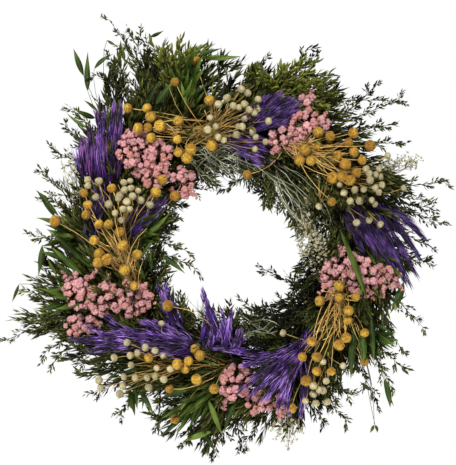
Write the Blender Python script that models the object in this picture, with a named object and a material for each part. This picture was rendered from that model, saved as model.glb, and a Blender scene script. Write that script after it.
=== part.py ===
"""Dried flower wreath: bunches of dried foliage and flowers tied one after another to a wire ring.

The wreath hangs upright. +Z is up, the front faces -Y and the wall lies behind it at +Y.
The origin is where the top of the ring bears on its hook. Layout values are millimetres
from the ring's centre: x to the right, z up, and f forward from the ring towards the viewer.
"""
import math
import random

import bmesh
import bpy
import numpy
from mathutils import Vector

MM = 0.001
SMOOTH_ANGLE = math.radians(60)

# Wire ring and binding wire
RING_RADIUS = 152.4
RING_WIRE = 2.0
RING_STEPS = 36
RING_SIDES = 6
BINDING_WIRE = 0.5
BINDING_OFFSET = 3.1
LOOP_HALF_WIDTH = 13.4
LOOP_HALF_HEIGHT = 14.6
LOOP_CENTRE = 10.6
LOOP_POINTS = 8
LOOP_PITCH = 5.0
LOOP_LEAD = 4.5
LOOP_START = -45.0
RUN_POINTS = 2

# Stations where bunches are tied: degrees clockwise from the top
STATIONS = [350, 20, 50, 80, 110, 140, 170, 200, 230, 260, 290, 320]
STATION_STEP = 30.0
STEM = 3.35
SLOT_PITCH = 7.0
FIRST_ROW = 5.65
STEM_TAIL = 8.0
NECK_START = 14.0
NECK = 2.6

# Limits that every twig keeps to
GAP = 0.3
HOLE_RADIUS = 80.0
BACK_LIMIT = 1.5
FRONT_LIMIT = 96.0
FLAT_OFFSET = 0.6
OUTER_LIMIT = 258.0

# How often a place is looked for, for each kind of piece
STEM_TRIES = 200
BRANCH_TRIES = 150
STRAIGHT_TRIES = 8
HEAD_TRIES = 60
STRAIGHT_STALK_TRIES = 6
LEAF_TRIES = 30
BLADE_TRIES = 14
BUD_TRIES = 12

COLOURS = {
    "galvanised wire": ((0.33, 0.34, 0.33), 0.45, 0.9),
    "green binding wire": ((0.05, 0.13, 0.06), 0.4, 0.6),
    "dark foliage": ((0.028, 0.045, 0.012), 0.75, 0.0),
    "leaf green": ((0.035, 0.13, 0.022), 0.6, 0.0),
    "lime foliage": ((0.15, 0.24, 0.03), 0.7, 0.0),
    "pink buds": ((0.70, 0.27, 0.30), 0.7, 0.0),
    "purple plume": ((0.085, 0.04, 0.26), 0.6, 0.0),
    "gold buttons": ((0.58, 0.31, 0.035), 0.8, 0.0),
    "ivory buttons": ((0.56, 0.50, 0.31), 0.8, 0.0),
    "cream filler": ((0.62, 0.58, 0.42), 0.8, 0.0),
}

# Gold and ivory button bunches: station, slot, fan point (x, z, f), heads (x, z)
GOLD = {
    "gold_buttons_top_left": (350, (0, 2), (-52, 144, 50), [
        (-134, 171), (-110, 171), (-105, 134), (-71, 155), (-72, 132),
        (-29, 124), (-32, 181), (-49, 230), (-75, 204)]),
    "gold_buttons_right": (20, (0, 1), (76, 122, 50), [
        (119, 136), (148, 140), (169, 124), (149, 116), (138, 101), (152, 90),
        (122, 84), (121, 54), (81, 106)]),
    "gold_buttons_lower_right": (80, (-1, 1), (138, -66, 42), [
        (106, -70), (151, -65), (162, -110), (139, -116), (84, -140),
        (89, -170), (120, -158), (162, -146), (70, -204)]),
    "gold_buttons_bottom": (170, (1, 2), (-14, -150, 52), [
        (-108, -141), (-72, -149), (-62, -155), (-50, -130), (-82, -180),
        (-26, -180), (-75, -218), (-84, -76)]),
    "gold_buttons_left": (230, (0, 1), (-136, -36, 48), [
        (-154, 71), (-189, 65), (-186, 38), (-225, 30), (-170, 26), (-144, 16),
        (-140, -1), (-122, -12), (-75, 61)]),
}
IVORY = {
    "ivory_buttons_top": (320, (0, 2), (-30, 136, 60), [
        (-21, 176), (-10, 184), (8, 195), (28, 170), (42, 155),
        (22, 142), (-14, 131), (25, 120), (38, 129)]),
    "ivory_buttons_right": (20, (1, 1), (136, 92, 46), [
        (150, 69), (156, 55), (171, 56), (182, 85),
        (191, 112), (152, 28), (182, 26), (105, 48)]),
    "ivory_buttons_lower_right": (110, (0, 1), (104, -140, 40), [
        (98, -176), (114, -170), (88, -195), (115, -196), (135, -151),
        (101, -198), (60, -110)]),
    "ivory_buttons_bottom_left": (170, (0, 1), (-62, -150, 54), [
        (-151, -141), (-112, -128), (-90, -138), (-130, -150),
        (-110, -166), (-89, -168), (-144, -186), (-170, -169), (-92, -98)]),
    "ivory_buttons_left": (260, (1, 1), (-136, 14, 48), [
        (-184, 81), (-170, 80), (-139, 78), (-130, 71), (-121, 68), (-144, 62),
        (-135, 45), (-106, 48)]),
}

# Pink clusters: station, slot, cores (x, z, f, half width, half height, half depth), bud count
PINK = {
    "pink_cluster_upper_left": (290, (0, 1), [
        (-120, 116, 56, 22, 23, 10), (-102, 88, 54, 16, 12, 9)], 11),
    "pink_cluster_inner_left": (290, (-1, 1), [(-64, 76, 50, 9, 17, 8)], 5),
    "pink_cluster_top_right": (350, (-1, 1), [
        (62, 130, 54, 13, 13, 9), (88, 144, 58, 16, 15, 10), (90, 174, 50, 7, 12, 7)], 12),
    "pink_cluster_right": (80, (0, 1), [
        (122, -38, 50, 12, 20, 9), (152, -36, 54, 15, 22, 9), (188, -42, 48, 16, 12, 9)], 14),
    "pink_cluster_bottom": (140, (-1, 1), [
        (0, -174, 52, 17, 21, 10), (42, -196, 48, 15, 13, 9)], 11),
    "pink_cluster_lower_left": (200, (0, 1), [
        (-196, -58, 46, 16, 20, 9), (-162, -68, 54, 19, 18, 10),
        (-126, -68, 52, 16, 20, 9), (-188, -102, 44, 18, 9, 8)], 18),
}

# Purple plumes: station, slot, fan point (x, z, f), plume tips (x, z, f), bristles a tip
PLUMES = {
    "purple_plume_upper_left": (260, (0, 2), (-162, 84, 48), [(-178, 172, 50), (-146, 178, 54)], 7),
    "purple_plume_left": (260, (-1, 1), (-150, 12, 36), [(-176, 66, 44), (-88, 60, 40)], 4),
    "purple_plume_top": (350, (0, 1), (24, 152, 46), [(88, 196, 48), (82, 166, 56)], 6),
    "purple_plume_inner_top": (320, (-1, 1), (-12, 126, 50), [(62, 100, 44), (46, 114, 56)], 6),
    "purple_plume_right": (50, (0, 1), (134, 44, 50), [
        (234, 0, 46), (226, -46, 48), (196, 8, 58)], 5),
    "purple_plume_lower_right": (140, (0, 1), (74, -136, 48), [
        (4, -190, 72), (44, -206, 68), (82, -210, 46)], 4),
    "purple_plume_bottom": (140, (-1, 2), (18, -140, 52), [(-62, -128, 62), (-42, -58, 46)], 6),
    "purple_plume_lower_left": (170, (-1, 1), (-66, -130, 56), [(-204, -124, 60), (-168, -126, 68)], 7),
}

# Leafy stems: station, slot, stem end (x, z, f), leaf tips (x, z, f)
LEAVES = {
    "leafy_stem_top": (320, (1, 1), (-60, 216, 34), [
        (8, 229, 34), (-30, 246, 30), (-14, 214, 46), (-84, 240, 44), (-46, 262, 24), (-104, 262, 20)]),
    "leafy_stem_upper_left": (290, (1, 0), (-172, 160, 26), [
        (-202, 246, 26), (-182, 240, 36), (-152, 240, 22), (-212, 200, 34), (-222, 160, 22)]),
    "leafy_stem_left": (260, (1, 0), (-206, 10, 24), [
        (-249, 69, 30), (-250, 36, 44), (-238, 19, 56), (-214, 64, 46), (-252, -4, 24), (-228, 58, 16)]),
    "leafy_stem_inner_left": (260, (-1, 0), (-114, 18, 26), [
        (-84, 36, 36), (-78, 58, 26), (-94, 66, 46), (-92, 12, 30)]),
    "leafy_stem_lower_left": (230, (1, 1), (-214, -72, 26), [
        (-240, 0, 34), (-246, -42, 30), (-272, -70, 28), (-262, -30, 18), (-228, -10, 52), (-238, -96, 30)]),
    "leafy_stem_bottom_left": (200, (1, 1), (-124, -184, 26), [
        (-122, -218, 34), (-142, -214, 26), (-158, -196, 40), (-106, -222, 22), (-174, -186, 24)]),
    "leafy_stem_bottom": (170, (1, 1), (-54, -200, 26), [
        (-16, -236, 32), (-86, -236, 30), (-62, -246, 22), (-104, -206, 42), (-36, -246, 44),
        (-110, -190, 24)]),
    "leafy_stem_lower_right": (110, (1, 1), (176, -118, 30), [
        (146, -172, 40), (196, -204, 30), (182, -206, 22), (178, -232, 34), (160, -170, 52), (206, -160, 22)]),
    "leafy_stem_right": (80, (1, 1), (190, -14, 24), [
        (168, -62, 78), (206, -76, 38), (212, -50, 24), (222, -70, 46), (196, -84, 26)]),
}

# Fine sprays: station, slot, spray end (x, z, f), tip count, spread, colour
SPRAYS = {
    "lime_spray_top_left": (320, (0, 1), (-80, 226, 48), 9, 26, "lime foliage"),
    "lime_spray_top_right": (350, (1, 1), (66, 206, 38), 8, 30, "lime foliage"),
    "cream_spray_inner_right": (20, (-1, 1), (94, 14, 44), 8, 26, "cream filler"),
    "cream_spray_right": (50, (1, 1), (206, 104, 36), 7, 16, "cream filler"),
    "cream_spray_bottom": (140, (1, 1), (66, -222, 34), 7, 20, "cream filler"),
    "cream_spray_left": (230, (1, 2), (-206, 86, 40), 6, 16, "cream filler"),
}

# Furthest twig tips of the foliage bunches, by the station they grow from: (x, z, f)
TWIG_TIPS = {
    350: [(92, 246, 28), (124, 206, 34)], 20: [(206, 182, 34), (176, 200, 26)],
    50: [(264, 80, 40), (250, 46, 30)], 80: [(244, -20, 30), (236, -104, 34)],
    110: [(212, -156, 30), (178, -196, 22)], 140: [(140, -220, 32), (12, -250, 30)],
    170: [(-28, -266, 28), (-64, -252, 38)], 200: [(-176, -186, 30), (-146, -214, 20)],
    230: [(-284, -118, 34), (-240, -136, 26)], 260: [(-254, 12, 20), (-244, 96, 26)],
    290: [(-212, 150, 26), (-226, 118, 34)], 320: [(-168, 288, 30), (-120, 262, 38)],
}

# Flower heads and buds: radii and stalks
GOLD_RADIUS = 5.6
GOLD_STALK = 0.6
IVORY_RADIUS = 4.2
IVORY_STALK = 0.55
CORE_SHARE = 0.72
CORE_SIDES = 6
BUD_LENGTH = 12.0
BUD_RADIUS = 5.8
BUD_ROOT = 4.0
GOLDEN_ANGLE = 2.4

# Leaves and blades: half width and half depth, and the lengths they are drawn from
LEAF_WIDTH = 4.8
LEAF_LENGTHS = (44, 56)
SPRAY_BLADE = (2.4, 0.8)
FOLIAGE_BLADE = (3.3, 0.9)
FOLIAGE_LENGTHS = (42, 72)
FOLIAGE_SPREAD = 0.8
BRISTLE = (2.4, 0.8)
BRISTLE_LENGTHS = (28, 46)
BRISTLE_SPREAD = 0.42

# Branch radii, at the root and at the tip
LEAFY_NECK = 1.4
SPRAY_NECK = 1.0
PLUME_BRANCH = (2.2, 1.2)
CORE_BRANCH = (2.0, 1.6)
FORK_BRANCH = (2.2, 1.3)
TWIG_BRANCH = (1.2, 0.7)

# The foliage bunches fork at the crotch; fork ends are degrees onward, out and forward
CROTCH_REACH = 30.0
CROTCH_FORWARD = 12.0
CROTCH_RADIUS = 2.4
FORK_ENDS = {"outer": (25, 56, 36), "inner": (25, -44, 32)}
FOLIAGE_BLADES = {"outer": 7, "inner": 4}


def world(x, z, f):
    """A layout point in millimetres in the part's frame, whose origin is under the ring's top."""
    return Vector((x, -f, z - RING_RADIUS + RING_WIRE))


def on_ring(degrees, out, forward):
    """A point beside the ring wire: out from the centre and forward, at an angle clockwise from top."""
    angle = math.radians(degrees)
    radius = RING_RADIUS + out
    return world(radius * math.sin(angle), radius * math.cos(angle), forward)


def along(degrees, distance):
    """The ring angle a distance further clockwise."""
    return degrees + math.degrees(distance / RING_RADIUS)


def flow(degrees, sense=1):
    """The direction in which a bunch tied at a ring angle points."""
    angle = math.radians(degrees)
    return Vector((math.cos(angle), 0.0, -math.sin(angle))) * sense


def dome(x, z):
    """How far forward the flower heads stand: highest over the middle of the wreath's tube."""
    offset = (math.hypot(x, z) - 158.0) / 100.0
    return 34.0 + 42.0 * max(0.0, 1.0 - offset * offset)


class Room:
    """The space taken so far, kept as round-ended bars, to find room for each new twig."""

    def __init__(self):
        self.owner = []
        self.start = []
        self.end = []
        self.radius = []

    def take(self, owner, bars):
        for start, end, radius in bars:
            self.owner.append(owner)
            self.start.append(tuple(start))
            self.end.append(tuple(end))
            self.radius.append(radius)

    def is_free(self, owner, bars):
        others = numpy.array([name != owner for name in self.owner])
        starts = numpy.array(self.start)[others]
        ends = numpy.array(self.end)[others]
        radii = numpy.array(self.radius)[others]
        for start, end, radius in bars:
            gaps = bar_distance(numpy.array(start), numpy.array(end), starts, ends) - radii - radius
            if gaps.min() < GAP:
                return False
        return True


def bar_distance(start, end, starts, ends):
    """Shortest distance from one segment to each of many."""
    d1 = end - start
    d2 = ends - starts
    between = start - starts
    a = max(float(d1 @ d1), 1e-9)
    e = numpy.maximum((d2 * d2).sum(axis=1), 1e-9)
    f = (d2 * between).sum(axis=1)
    c = between @ d1
    b = d2 @ d1
    denominator = numpy.maximum(a * e - b * b, 1e-9)
    s = numpy.clip((b * f - c * e) / denominator, 0.0, 1.0)
    t = numpy.clip((b * s + f) / e, 0.0, 1.0)
    s = numpy.clip((b * t - c) / a, 0.0, 1.0)
    gap = between + s[:, None] * d1 - t[:, None] * d2
    return numpy.sqrt((gap * gap).sum(axis=1))


def bars_of(piece):
    """The round-ended bars that hold a piece's whole shape."""
    if "bars" in piece:
        return piece["bars"]
    points, widths, depths = piece["points"], piece["widths"], piece["depths"]
    sides = side_vectors(piece)
    bars = []
    for i in range(len(points) - 1):
        wide = max(widths[i], widths[i + 1])
        deep = max(depths[i], depths[i + 1])
        if wide < 1.5 * deep:
            bars.append((points[i], points[i + 1], max(wide, deep)))
            continue
        for k in (-FLAT_OFFSET, 0.0, FLAT_OFFSET):
            start = points[i] + sides[i] * widths[i] * k
            end = points[i + 1] + sides[i + 1] * widths[i + 1] * k
            bars.append((start, end, max(deep, wide * (1.0 - FLAT_OFFSET))))
    return bars


def side_vectors(piece):
    """The direction across the piece at each of its points, turned as little as possible."""
    points, last = piece["points"], len(piece["points"]) - 1
    side = piece["up"].cross(points[1] - points[0]).normalized()
    sides = []
    for i in range(last + 1):
        tangent = (points[min(i + 1, last)] - points[max(i - 1, 0)]).normalized()
        side = (side - tangent * side.dot(tangent)).normalized()
        sides.append(side)
    return sides


def in_bounds(piece):
    """Whether a piece stays clear of the hole, the wall and the wreath's outer reach."""
    for point in piece["points"]:
        radius = math.hypot(point.x, point.z + RING_RADIUS - RING_WIRE)
        if not HOLE_RADIUS < radius < OUTER_LIMIT or not BACK_LIMIT < -point.y < FRONT_LIMIT:
            return False
    return True


def spindle(points, widths, depths, sides, up=Vector((0, -1, 0))):
    """A pointed rod, blade or bud: half widths and half depths at each point, zero at both tips."""
    return {"points": points, "widths": widths, "depths": depths, "sides": sides, "up": up}


def spindle_mesh(name, piece):
    """A sphere of few sides whose rings are moved to the piece's points."""
    points, last = piece["points"], len(piece["points"]) - 1
    sides = side_vectors(piece)
    bm = bmesh.new()
    bmesh.ops.create_uvsphere(bm, u_segments=piece["sides"], v_segments=last, radius=1.0)
    for vert in bm.verts:
        ring = round(math.acos(max(-1.0, min(1.0, -vert.co.z))) / math.pi * last)
        turn = Vector((vert.co.x, vert.co.y))
        turn = turn.normalized() if turn.length > 0.001 else turn * 0.0
        side = sides[ring]
        tangent = (points[min(ring + 1, last)] - points[max(ring - 1, 0)]).normalized()
        across = side * turn.x * piece["widths"][ring]
        deep = tangent.cross(side) * turn.y * piece["depths"][ring]
        vert.co = (points[ring] + across + deep) * MM
    mesh = bpy.data.meshes.new(name)
    bm.to_mesh(mesh)
    bm.free()
    return mesh


def round_rod(points, radii, sides):
    return spindle(points, radii, radii, sides)


def needle(root, tip, blade, up=Vector((0, -1, 0))):
    """A three-sided blade, widest below its middle."""
    middle = root.lerp(tip, 0.4)
    return spindle([root, middle, tip], [0, blade[0], 0], [0, blade[1], 0], 3, up)


def leaf(root, tip, length, width, up):
    """A lance-shaped leaf on a thin stalk."""
    reach = (tip - root).length
    base = max(0.12, 1.0 - length / reach)
    stations = [0.0, base, base + (1 - base) * 0.45, 1.0]
    points = [root.lerp(tip, t) for t in stations]
    return spindle(points, [0, 1.0, width, 0], [0, 0.7, 0.5, 0], 4, up)


def stalked_head(root, centre, radius, stalk, sides, bow=Vector()):
    """A round flower head on its own stalk."""
    middle = root.lerp(centre, 0.55) + bow
    aim = (centre - middle).normalized()
    inward = (middle - root).normalized()
    points = [root - inward, root + inward * 0.5]
    if bow.length:
        points.append(middle)
    points += [centre - aim * radius * 0.93, centre - aim * radius * 0.45, centre + aim * radius * 0.55,
               centre + aim * radius]
    radii = [0] + [stalk] * (len(points) - 4) + [radius * 0.89, radius * 0.84, 0]
    return round_rod(points, radii, sides)


def stem_points(station, slot, sense):
    """The stretch of a bunch's stem that the binding wire holds."""
    out = slot[0] * SLOT_PITCH
    forward = FIRST_ROW + slot[1] * SLOT_PITCH
    return [on_ring(along(station, sense * s), out, forward) for s in (-STEM_TAIL, NECK_START)]


def neck_points(start, heading, apex, aim, bend):
    """A smooth rise from the tie to the point where the bunch fans out."""
    reach = (apex - start).length
    first = start + heading * reach * 0.3 + bend
    second = apex - aim * reach * 0.3 + bend
    curve = []
    for t in (0.0, 0.5, 1.0):
        u = 1 - t
        curve.append(start * u ** 3 + first * 3 * u * u * t + second * 3 * u * t * t + apex * t ** 3)
    return curve


class Bunch:
    """One node: a tied stem and all that grows from it."""

    def __init__(self, name, colour, station, slot, sense=1):
        self.name = name
        self.colour = colour
        self.station = station
        self.slot = slot
        self.sense = sense
        self.pieces = []
        self.stem = stem_points(station, slot, sense)
        self.rng = random.Random(name)

    def try_piece(self, room, piece, bounded=True):
        """Adds a piece if there is room for it."""
        if bounded and not in_bounds(piece):
            return False
        if not room.is_free(self.name, bars_of(piece)):
            return False
        room.take(self.name, bars_of(piece))
        self.pieces.append(piece)
        return True

    def jitter(self, amount, limit=math.inf):
        """A random shift of at most this amount, or the limit, along each axis."""
        amount = min(amount, limit)
        return Vector([self.rng.uniform(-amount, amount) for _ in range(3)])

    def grow_neck(self, room, apex, aim, end_radius=NECK):
        """The stem from the tie to the fan point, bent until it clears the others."""
        heading = flow(self.station, self.sense)
        for attempt in range(STEM_TRIES):
            bend = self.jitter(0.4 * attempt, 40.0)
            self.apex = apex + self.jitter(0.04 * attempt)
            curve = neck_points(self.stem[1], heading, self.apex, aim, bend)
            tip = self.apex + (self.apex - curve[-2]).normalized() * end_radius
            radii = [NECK, (NECK + end_radius) / 2, end_radius, 0]
            test = round_rod(curve + [tip], radii, 4)
            if in_bounds(test) and room.is_free(self.name, bars_of(test)):
                break
        else:
            raise RuntimeError("no room for the stem of " + self.name)
        room.take(self.name, bars_of(test))
        back = self.stem[0] - heading * 1.0
        points = [back, self.stem[0]] + curve + [tip]
        self.pieces.append(round_rod(points, [0, STEM] + radii, 4))
        return points


def fan_of_heads(bunch, room, heads, radius, stalk, sides):
    """Round heads on separate stalks that spread from the fan point."""
    for x, z in heads:
        size = radius * bunch.rng.uniform(0.9, 1.12)
        for attempt in range(HEAD_TRIES):
            centre = world(x, z, dome(x, z)) + bunch.jitter(0.35 * attempt, 7.0)
            bow = Vector() if attempt < STRAIGHT_STALK_TRIES else bunch.jitter(0.5 * attempt)
            if bunch.try_piece(room, stalked_head(bunch.apex, centre, size, stalk, sides, bow)):
                break


def bud_cluster(bunch, room, cores, count):
    """Pointed buds standing out of small cores, on branches from the first core."""
    area = sum(core[3] * core[4] for core in cores)
    for core in cores:
        x, z, f = core[:3]
        wide, high, deep = [CORE_SHARE * size for size in core[3:]]
        share = max(3, round(count * wide * high / area))
        for k in range(share):
            lift = 0.95 - 0.95 * (k + 0.5) / share
            turn = k * GOLDEN_ANGLE + bunch.rng.uniform(-0.3, 0.3)
            spread = math.sqrt(1 - lift * lift)
            unit = Vector((math.cos(turn) * spread, -lift, math.sin(turn) * spread))
            surface = world(x, z, f) + Vector((unit.x * wide, unit.y * deep, unit.z * high))
            normal = Vector((unit.x / wide, unit.y / deep, unit.z / high)).normalized()
            for attempt in range(BUD_TRIES):
                aim = (normal + bunch.jitter(0.25 + 0.05 * attempt)).normalized()
                length = BUD_LENGTH - 0.4 * attempt
                points = [surface - aim * BUD_ROOT, surface + aim * length * 0.5, surface + aim * length]
                bud = round_rod(points, [0, BUD_RADIUS - 0.15 * attempt, 0], 4)
                if bunch.try_piece(room, bud):
                    break


def core_piece(core):
    """A smaller core that the buds stand out of."""
    x, z, f = core[:3]
    wide, high, deep = [CORE_SHARE * size for size in core[3:]]
    points = [world(x, z + high * k, f) for k in (-1.0, -0.7, 0.0, 0.7, 1.0)]
    widths = [wide * k for k in (0, 0.7, 1.0, 0.7, 0)]
    depths = [deep * k for k in (0, 0.75, 1.0, 0.75, 0)]
    piece = spindle(points, widths, depths, CORE_SIDES)
    piece["bars"] = []
    for k in (-1.0, -0.4, 0.4, 1.0):
        drop = (high - deep) * math.sqrt(1.0 - 0.5 * k * k)
        at = x + k * (wide - deep)
        piece["bars"].append((world(at, z - drop, f), world(at, z + drop, f), deep))
    return piece


def branch(bunch, room, start, end, radii):
    """A tapering branch, straight where there is room and bent where there isn't."""
    root_radius, end_radius = radii
    for attempt in range(BRANCH_TRIES):
        middle = start.lerp(end, 0.5) + bunch.jitter(0.5 * attempt, 26.0)
        end = end + bunch.jitter(0.02 * attempt)
        bent = [middle] if attempt > STRAIGHT_TRIES else []
        route = [start] + bent + [end]
        tip = end + (end - route[-2]).normalized() * end_radius
        points = [start - (route[1] - start).normalized() * root_radius] + route + [tip]
        taper = [0, root_radius] + [(root_radius + end_radius) / 2] * len(bent) + [end_radius, 0]
        if bunch.try_piece(room, round_rod(points, taper, 3), bounded=False):
            return points
    raise RuntimeError("no room for a branch of " + bunch.name)


def bristles(bunch, room, axis, count, lengths, spread, blade):
    """Fine blades along a branch, all leaning towards its tip."""
    for k in range(count):
        for attempt in range(BLADE_TRIES):
            t = (k + bunch.rng.uniform(0.1, 0.9)) / count
            position = t * (len(axis) - 3) + 1
            i = min(int(position), len(axis) - 3)
            root = axis[i].lerp(axis[i + 1], position - i)
            ahead = (axis[i + 1] - axis[i]).normalized()
            lean = bunch.jitter(1.0)
            lean = (lean - ahead * lean.dot(ahead)).normalized()
            slope = bunch.rng.uniform(0.35, 1.0) * spread
            aim = (ahead + lean * slope).normalized()
            length = bunch.rng.uniform(*lengths) * (1.0 - 0.02 * attempt)
            up = aim.cross(lean) if bunch.rng.random() < 0.5 else lean
            if bunch.try_piece(room, needle(root, root + aim * length, blade, up)):
                break


def make_bunches():
    bunches = {}
    for table, colour in ((GOLD, "gold buttons"), (IVORY, "ivory buttons"), (PINK, "pink buds"),
                          (PLUMES, "purple plume"), (LEAVES, "leaf green"), (SPRAYS, None)):
        for name, row in table.items():
            sense = -1 if name == "gold_buttons_top_left" else 1
            bunches[name] = Bunch(name, colour or row[5], row[0], row[1], sense)
    for number, station in enumerate(STATIONS):
        name = f"foliage_bunch_{number + 1:02d}"
        bunches[name] = Bunch(name, "dark foliage", station, (0, 0))
    return bunches


def mean_aim(apex, targets):
    """The mean direction from the fan point to what it carries."""
    total = Vector()
    for target in targets:
        total += (target - apex).normalized()
    return total.normalized()


def grow_necks(bunches, room):
    """Every stem first, so that the heads and leaves keep clear of them."""
    necks = {}
    for name, (station, slot, fan, heads) in list(GOLD.items()) + list(IVORY.items()):
        apex = world(*fan)
        aim = mean_aim(apex, [world(x, z, dome(x, z)) for x, z in heads])
        bunches[name].grow_neck(room, apex, aim)
    for name, (station, slot, fan, tips, count) in PLUMES.items():
        apex = world(*fan)
        bunches[name].grow_neck(room, apex, mean_aim(apex, [world(*tip) for tip in tips]))
    for name, (station, slot, cores, count) in PINK.items():
        bunches[name].pieces += [core_piece(core) for core in cores]
        for core in cores:
            room.take(name, bars_of(core_piece(core)))
        nearest = min(cores, key=lambda c: (world(*c[:3]) - bunches[name].stem[1]).length)
        centre = world(*nearest[:3])
        bunches[name].grow_neck(room, centre, (centre - bunches[name].stem[1]).normalized())
        for core in cores:
            if core is not nearest:
                branch(bunches[name], room, centre, world(*core[:3]), CORE_BRANCH)
    for name, (station, slot, end, tips) in LEAVES.items():
        apex = world(*end)
        necks[name] = bunches[name].grow_neck(room, apex, flow(station + 20), LEAFY_NECK)
    for name, (station, slot, end, *_) in SPRAYS.items():
        apex = world(*end)
        necks[name] = bunches[name].grow_neck(room, apex, flow(station + 20), SPRAY_NECK)
    return necks


def grow_foliage_stem(bunch, room):
    """The foliage bunch's short neck, its outer and inner forks, and its furthest twigs."""
    station = bunch.station
    crotch = on_ring(along(station, CROTCH_REACH), 0.0, CROTCH_FORWARD)
    bunch.grow_neck(room, crotch, flow(station + 10), CROTCH_RADIUS)
    forks = {}
    for fork, (turn, out, forward) in FORK_ENDS.items():
        end = on_ring(station + turn, out, forward)
        forks[fork] = branch(bunch, room, crotch, end, FORK_BRANCH)
    for tip in TWIG_TIPS[station]:
        branch(bunch, room, forks["outer"][-2], world(*tip), TWIG_BRANCH)
    return forks


def grow_heads(bunches, room, necks, forks):
    """Flower heads first, then leaves and sprays, and the foliage in the room that is left."""
    for name, row in GOLD.items():
        fan_of_heads(bunches[name], room, row[3], GOLD_RADIUS, GOLD_STALK, 5)
    for name, row in IVORY.items():
        fan_of_heads(bunches[name], room, row[3], IVORY_RADIUS, IVORY_STALK, 4)
    for name, row in PINK.items():
        bud_cluster(bunches[name], room, row[2], row[3])
    for name, (station, slot, fan, tips, count) in PLUMES.items():
        apex = bunches[name].apex
        for tip in tips:
            end = world(*tip).lerp(apex, 0.2)
            axis = branch(bunches[name], room, apex, end, PLUME_BRANCH)
            bristles(bunches[name], room, axis, count, BRISTLE_LENGTHS, BRISTLE_SPREAD, BRISTLE)
    for name, row in LEAVES.items():
        grow_leaves(bunches[name], room, necks[name], row[3])
    for name, row in SPRAYS.items():
        grow_spray(bunches[name], room, necks[name], row[3], row[4])
    for name, pair in forks.items():
        grow_foliage(bunches[name], room, pair)


def on_stem(stem, share):
    """A point on the last two lengths of a stem before its tip."""
    if share < 0.5:
        return stem[-4].lerp(stem[-3], share * 2.0)
    return stem[-3].lerp(stem[-2], share * 2.0 - 1.0)


def grow_leaves(bunch, room, stem, tips):
    """Lance leaves whose stalks leave the upper part of the stem."""
    for tip in tips:
        target = world(*tip)
        for attempt in range(LEAF_TRIES):
            root = on_stem(stem, bunch.rng.uniform(0.0, 1.0))
            end = target + bunch.jitter(0.5 * attempt)
            length = min(bunch.rng.uniform(*LEAF_LENGTHS), (end - root).length * 0.86)
            up = Vector((0, -1, 0)) + bunch.jitter(0.7)
            if bunch.try_piece(room, leaf(root, end, length, LEAF_WIDTH - 0.08 * attempt, up), False):
                break


def grow_spray(bunch, room, stem, count, spread):
    """A fine spray: small blades round the end of its stem."""
    centre = stem[-2]
    for _ in range(count):
        for _ in range(BLADE_TRIES):
            root = on_stem(stem, bunch.rng.uniform(0.25, 1.0))
            ahead = (centre - stem[-4]).normalized()
            aim = (ahead + bunch.jitter(0.8)).normalized()
            tip = root + aim * spread * bunch.rng.uniform(0.7, 1.2)
            if bunch.try_piece(room, needle(root, tip, SPRAY_BLADE)):
                break


def grow_foliage(bunch, room, forks):
    """Blades on both forks."""
    for fork, count in FOLIAGE_BLADES.items():
        bristles(bunch, room, forks[fork], count, FOLIAGE_LENGTHS, FOLIAGE_SPREAD, FOLIAGE_BLADE)


def ring_bars():
    steps = [on_ring(360.0 * k / RING_STEPS, 0.0, 0.0) for k in range(RING_STEPS + 1)]
    return [(steps[k], steps[k + 1], RING_WIRE) for k in range(RING_STEPS)]


def binding_route():
    """The binding wire: one turn round ring and stems at each station, then along the ring."""
    points = []
    run = STATION_STEP - math.degrees(2 * LOOP_LEAD / RING_RADIUS)
    for station in sorted(STATIONS):
        points.append(on_ring(along(station, -LOOP_LEAD), BINDING_OFFSET, 0.0))
        for k in range(LOOP_POINTS):
            turn = math.radians(LOOP_START + 360.0 * k / (LOOP_POINTS - 1))
            c, s = math.cos(turn), math.sin(turn)
            out = LOOP_HALF_WIDTH * math.copysign(math.sqrt(abs(c)), c)
            forward = LOOP_CENTRE + LOOP_HALF_HEIGHT * math.copysign(math.sqrt(abs(s)), s)
            shift = LOOP_PITCH * (k / (LOOP_POINTS - 1) - 0.5)
            points.append(on_ring(along(station, shift), out, forward))
        points.append(on_ring(along(station, LOOP_LEAD), BINDING_OFFSET, 0.0))
        if station != max(STATIONS):
            for k in range(RUN_POINTS):
                share = (k + 1) / (RUN_POINTS + 1)
                points.append(on_ring(along(station, LOOP_LEAD) + share * run, BINDING_OFFSET, 0.0))
    radii = [0.0] + [BINDING_WIRE] * (len(points) - 2) + [0.0]
    return round_rod(points, radii, 3)


def make_ring():
    """The wire ring, a circle of wire spun round the wreath's axis."""
    bm = bmesh.new()
    bmesh.ops.create_circle(bm, segments=RING_SIDES, radius=RING_WIRE * MM)
    centre = world(0, 0, 0) * MM
    for vert in bm.verts:
        vert.co = Vector((vert.co.x + RING_RADIUS * MM, vert.co.y, 0.0)) + centre
    bmesh.ops.spin(bm, geom=bm.verts[:] + bm.edges[:], cent=centre, axis=(0, 1, 0),
                   angle=math.tau, steps=RING_STEPS, use_merge=True)
    bmesh.ops.recalc_face_normals(bm, faces=bm.faces[:])
    mesh = bpy.data.meshes.new("wire_ring")
    bm.to_mesh(mesh)
    bm.free()
    return mesh


def material(name):
    colour, roughness, metallic = COLOURS[name]
    if name in bpy.data.materials:
        return bpy.data.materials[name]
    made = bpy.data.materials.new(name)
    made.use_nodes = True
    shader = made.node_tree.nodes["Principled BSDF"]
    shader.inputs["Base Color"].default_value = (*colour, 1.0)
    shader.inputs["Roughness"].default_value = roughness
    shader.inputs["Metallic"].default_value = metallic
    return made


def make_object(name, mesh, colour, collection):
    item = bpy.data.objects.new(name, mesh)
    collection.objects.link(item)
    if not mesh.materials:
        mesh.materials.append(material(colour))
    return item


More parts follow.
